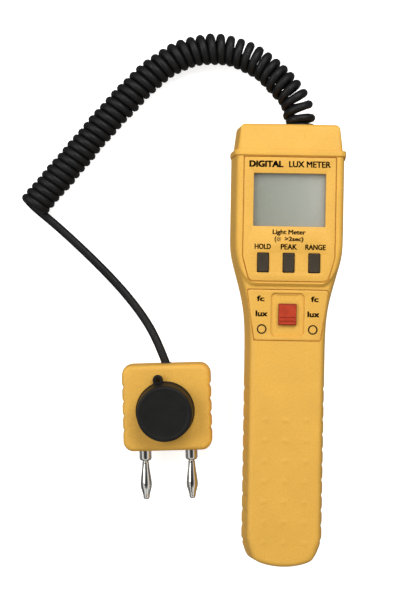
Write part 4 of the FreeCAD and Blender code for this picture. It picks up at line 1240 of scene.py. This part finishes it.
def helix_points():
    """Turns of the cord round its route: right-handed, from the middle of the grommet out.

    The first turn lies close to the grommet, and the gap after it is a little wider. Further
    along, the turns lie closer and closer together.
    """
    steps = TURNS * TURN_POINTS
    fine = [Vector(spot) for spot in spaced(line_points(COIL_ROUTE), steps * FINE)]
    middle = []
    for number in range(steps + 1):
        share = number / steps
        place = steps * (share + PITCH_FALL * share * (1 - share))
        held_back = HOLD * math.exp(-((number / TURN_POINTS - HOLD_PLACE) / HOLD_REACH) ** 2)
        middle.append(fine[max(0, round((place - held_back * TURN_POINTS) * FINE))])
    last_angle = -math.pi / 2
    spots = []
    for number, spot in enumerate(middle):
        ahead = middle[min(number + 1, steps)] - middle[max(number - 1, 0)]
        ahead.normalize()
        up = (Vector((0, 0, 1)) - ahead * ahead.z).normalized()
        inner = up.cross(ahead)
        angle = last_angle - 2 * math.pi * (steps - number) / TURN_POINTS
        opening = ease(number / (OPENING * TURN_POINTS))
        uneven = 0.12 * math.sin(number * 0.11) + 0.08 * math.sin(number * 0.037 + 1.0)
        radius = (TURN_RADIUS + uneven) * opening
        spots.append(spot + (inner * math.cos(angle) + up * math.sin(angle)) * radius)
    return spots


def make_cord():
    spots = helix_points() + [Vector(spot) for spot in TAIL_ROUTE]
    path = line_points(spots)
    cord = add_object("curly_cord", take_mesh(nurbs_line("cord_curve", spots, CORD_WIDTH)))
    smooth(cord, 60.0)
    paint(cord, LOOKS["black_rubber"])
    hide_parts("cord_coil", "cord_tail")
    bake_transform(cord)


# ---------------------------------------------------------------- stage

FLOOR_HALF, FLOOR_DROP = 3.0, -0.0002


def make_floor():
    """A light table's pale top, which itself throws no light back at the case's sides."""
    corners = [(x, y, FLOOR_DROP) for x, y in box_corners(0, 0, FLOOR_HALF, FLOOR_HALF)]
    mesh = bpy.data.meshes.new("floor")
    mesh.from_pydata(corners, [], [(0, 1, 2, 3)])
    floor = add_object("floor", mesh)
    floor.visible_diffuse = False
    floor.visible_glossy = False
    floor.visible_shadow = False
    look = Look("floor_look")
    tint = look.between(look.noise(300.0, detail=3.0), (0.9, 0.9, 0.9), (0.93, 0.93, 0.93))
    mesh.materials.append(look.finish(Base_Color=tint, Roughness=0.9, Specular_IOR_Level=0.1,
                                      Emission_Color=(1.0, 1.0, 1.0), Emission_Strength=0.7))


LIGHT_TARGET = Vector((-0.03, 0.02, 0.0))


def area_light(name, place, size, power):
    light = bpy.data.lights.new(name, "AREA")
    light.shape = "RECTANGLE"
    light.size, light.size_y = size
    light.energy = power
    obj = add_object(name, light)
    obj.location = place
    obj.rotation_mode = "QUATERNION"
    obj.rotation_quaternion = (Vector(place) - LIGHT_TARGET).to_track_quat("Z", "Y")


# Light from all round, from straight below at 0 to straight above at 1.
WORLD_FLOOR = 0.45
WORLD_LEVELS = [(0.45, 0.3), (0.55, 0.15), (0.66, 0.5), (0.8, 1.6), (0.9, 0.8), (0.965, 0.08)]
WORLD_STRENGTH = 0.58


def make_lights():
    """A near light beyond the head, a wide one from the left, and a studio that is dark overhead."""
    area_light("key", (0.12, 0.38, 0.45), (0.5, 0.35), 2.3)
    area_light("fill", (-0.6, 0.15, 0.6), (0.5, 0.5), 2.8)
    world = bpy.data.worlds.new("studio")
    world.use_nodes = True
    tree = world.node_tree
    direction = tree.nodes.new("ShaderNodeTexCoord").outputs["Generated"]
    height = tree.nodes.new("ShaderNodeSeparateXYZ")
    tree.links.new(direction, height.inputs[0])
    share = tree.nodes.new("ShaderNodeMapRange")
    share.inputs["From Min"].default_value = -1.0
    tree.links.new(height.outputs["Z"], share.inputs["Value"])
    ramp = tree.nodes.new("ShaderNodeValToRGB")
    tree.links.new(share.outputs["Result"], ramp.inputs["Fac"])
    stops = ramp.color_ramp.elements
    stops.remove(stops[-1])
    stops[0].color = (WORLD_FLOOR, WORLD_FLOOR, WORLD_FLOOR, 1)
    for place, level in WORLD_LEVELS:
        stops.new(place).color = (level, level, level, 1)
    background = tree.nodes["Background"]
    tree.links.new(ramp.outputs["Color"], background.inputs["Color"])
    background.inputs["Strength"].default_value = WORLD_STRENGTH
    bpy.context.scene.world = world
    bpy.context.scene.view_settings.view_transform = "Standard"


def make_camera():
    """High above the meter and the sensor head, looking straight down, turned by a degree."""
    camera = bpy.data.cameras.new("camera")
    camera.lens = 76.98
    camera.sensor_width = 36.0
    camera.clip_start = 0.01
    camera.clip_end = 20.0
    obj = add_object("camera", camera)
    obj.location = Vector((-35.0, 17.84, 540.0)) * MM
    obj.rotation_euler = (0.0, 0.0, math.radians(1.0))
    bpy.context.scene.camera = obj


make_camera()
make_lights()
make_floor()
make_cord()
make_front_shell()
make_rear_shell()
make_battery_door()
make_end_cap()
make_grommet()
make_panels()
make_display()
make_keys()
make_mode_knob()
make_sensor_shells()
make_lens_cap()
make_plugs()
dress_cad_nodes()
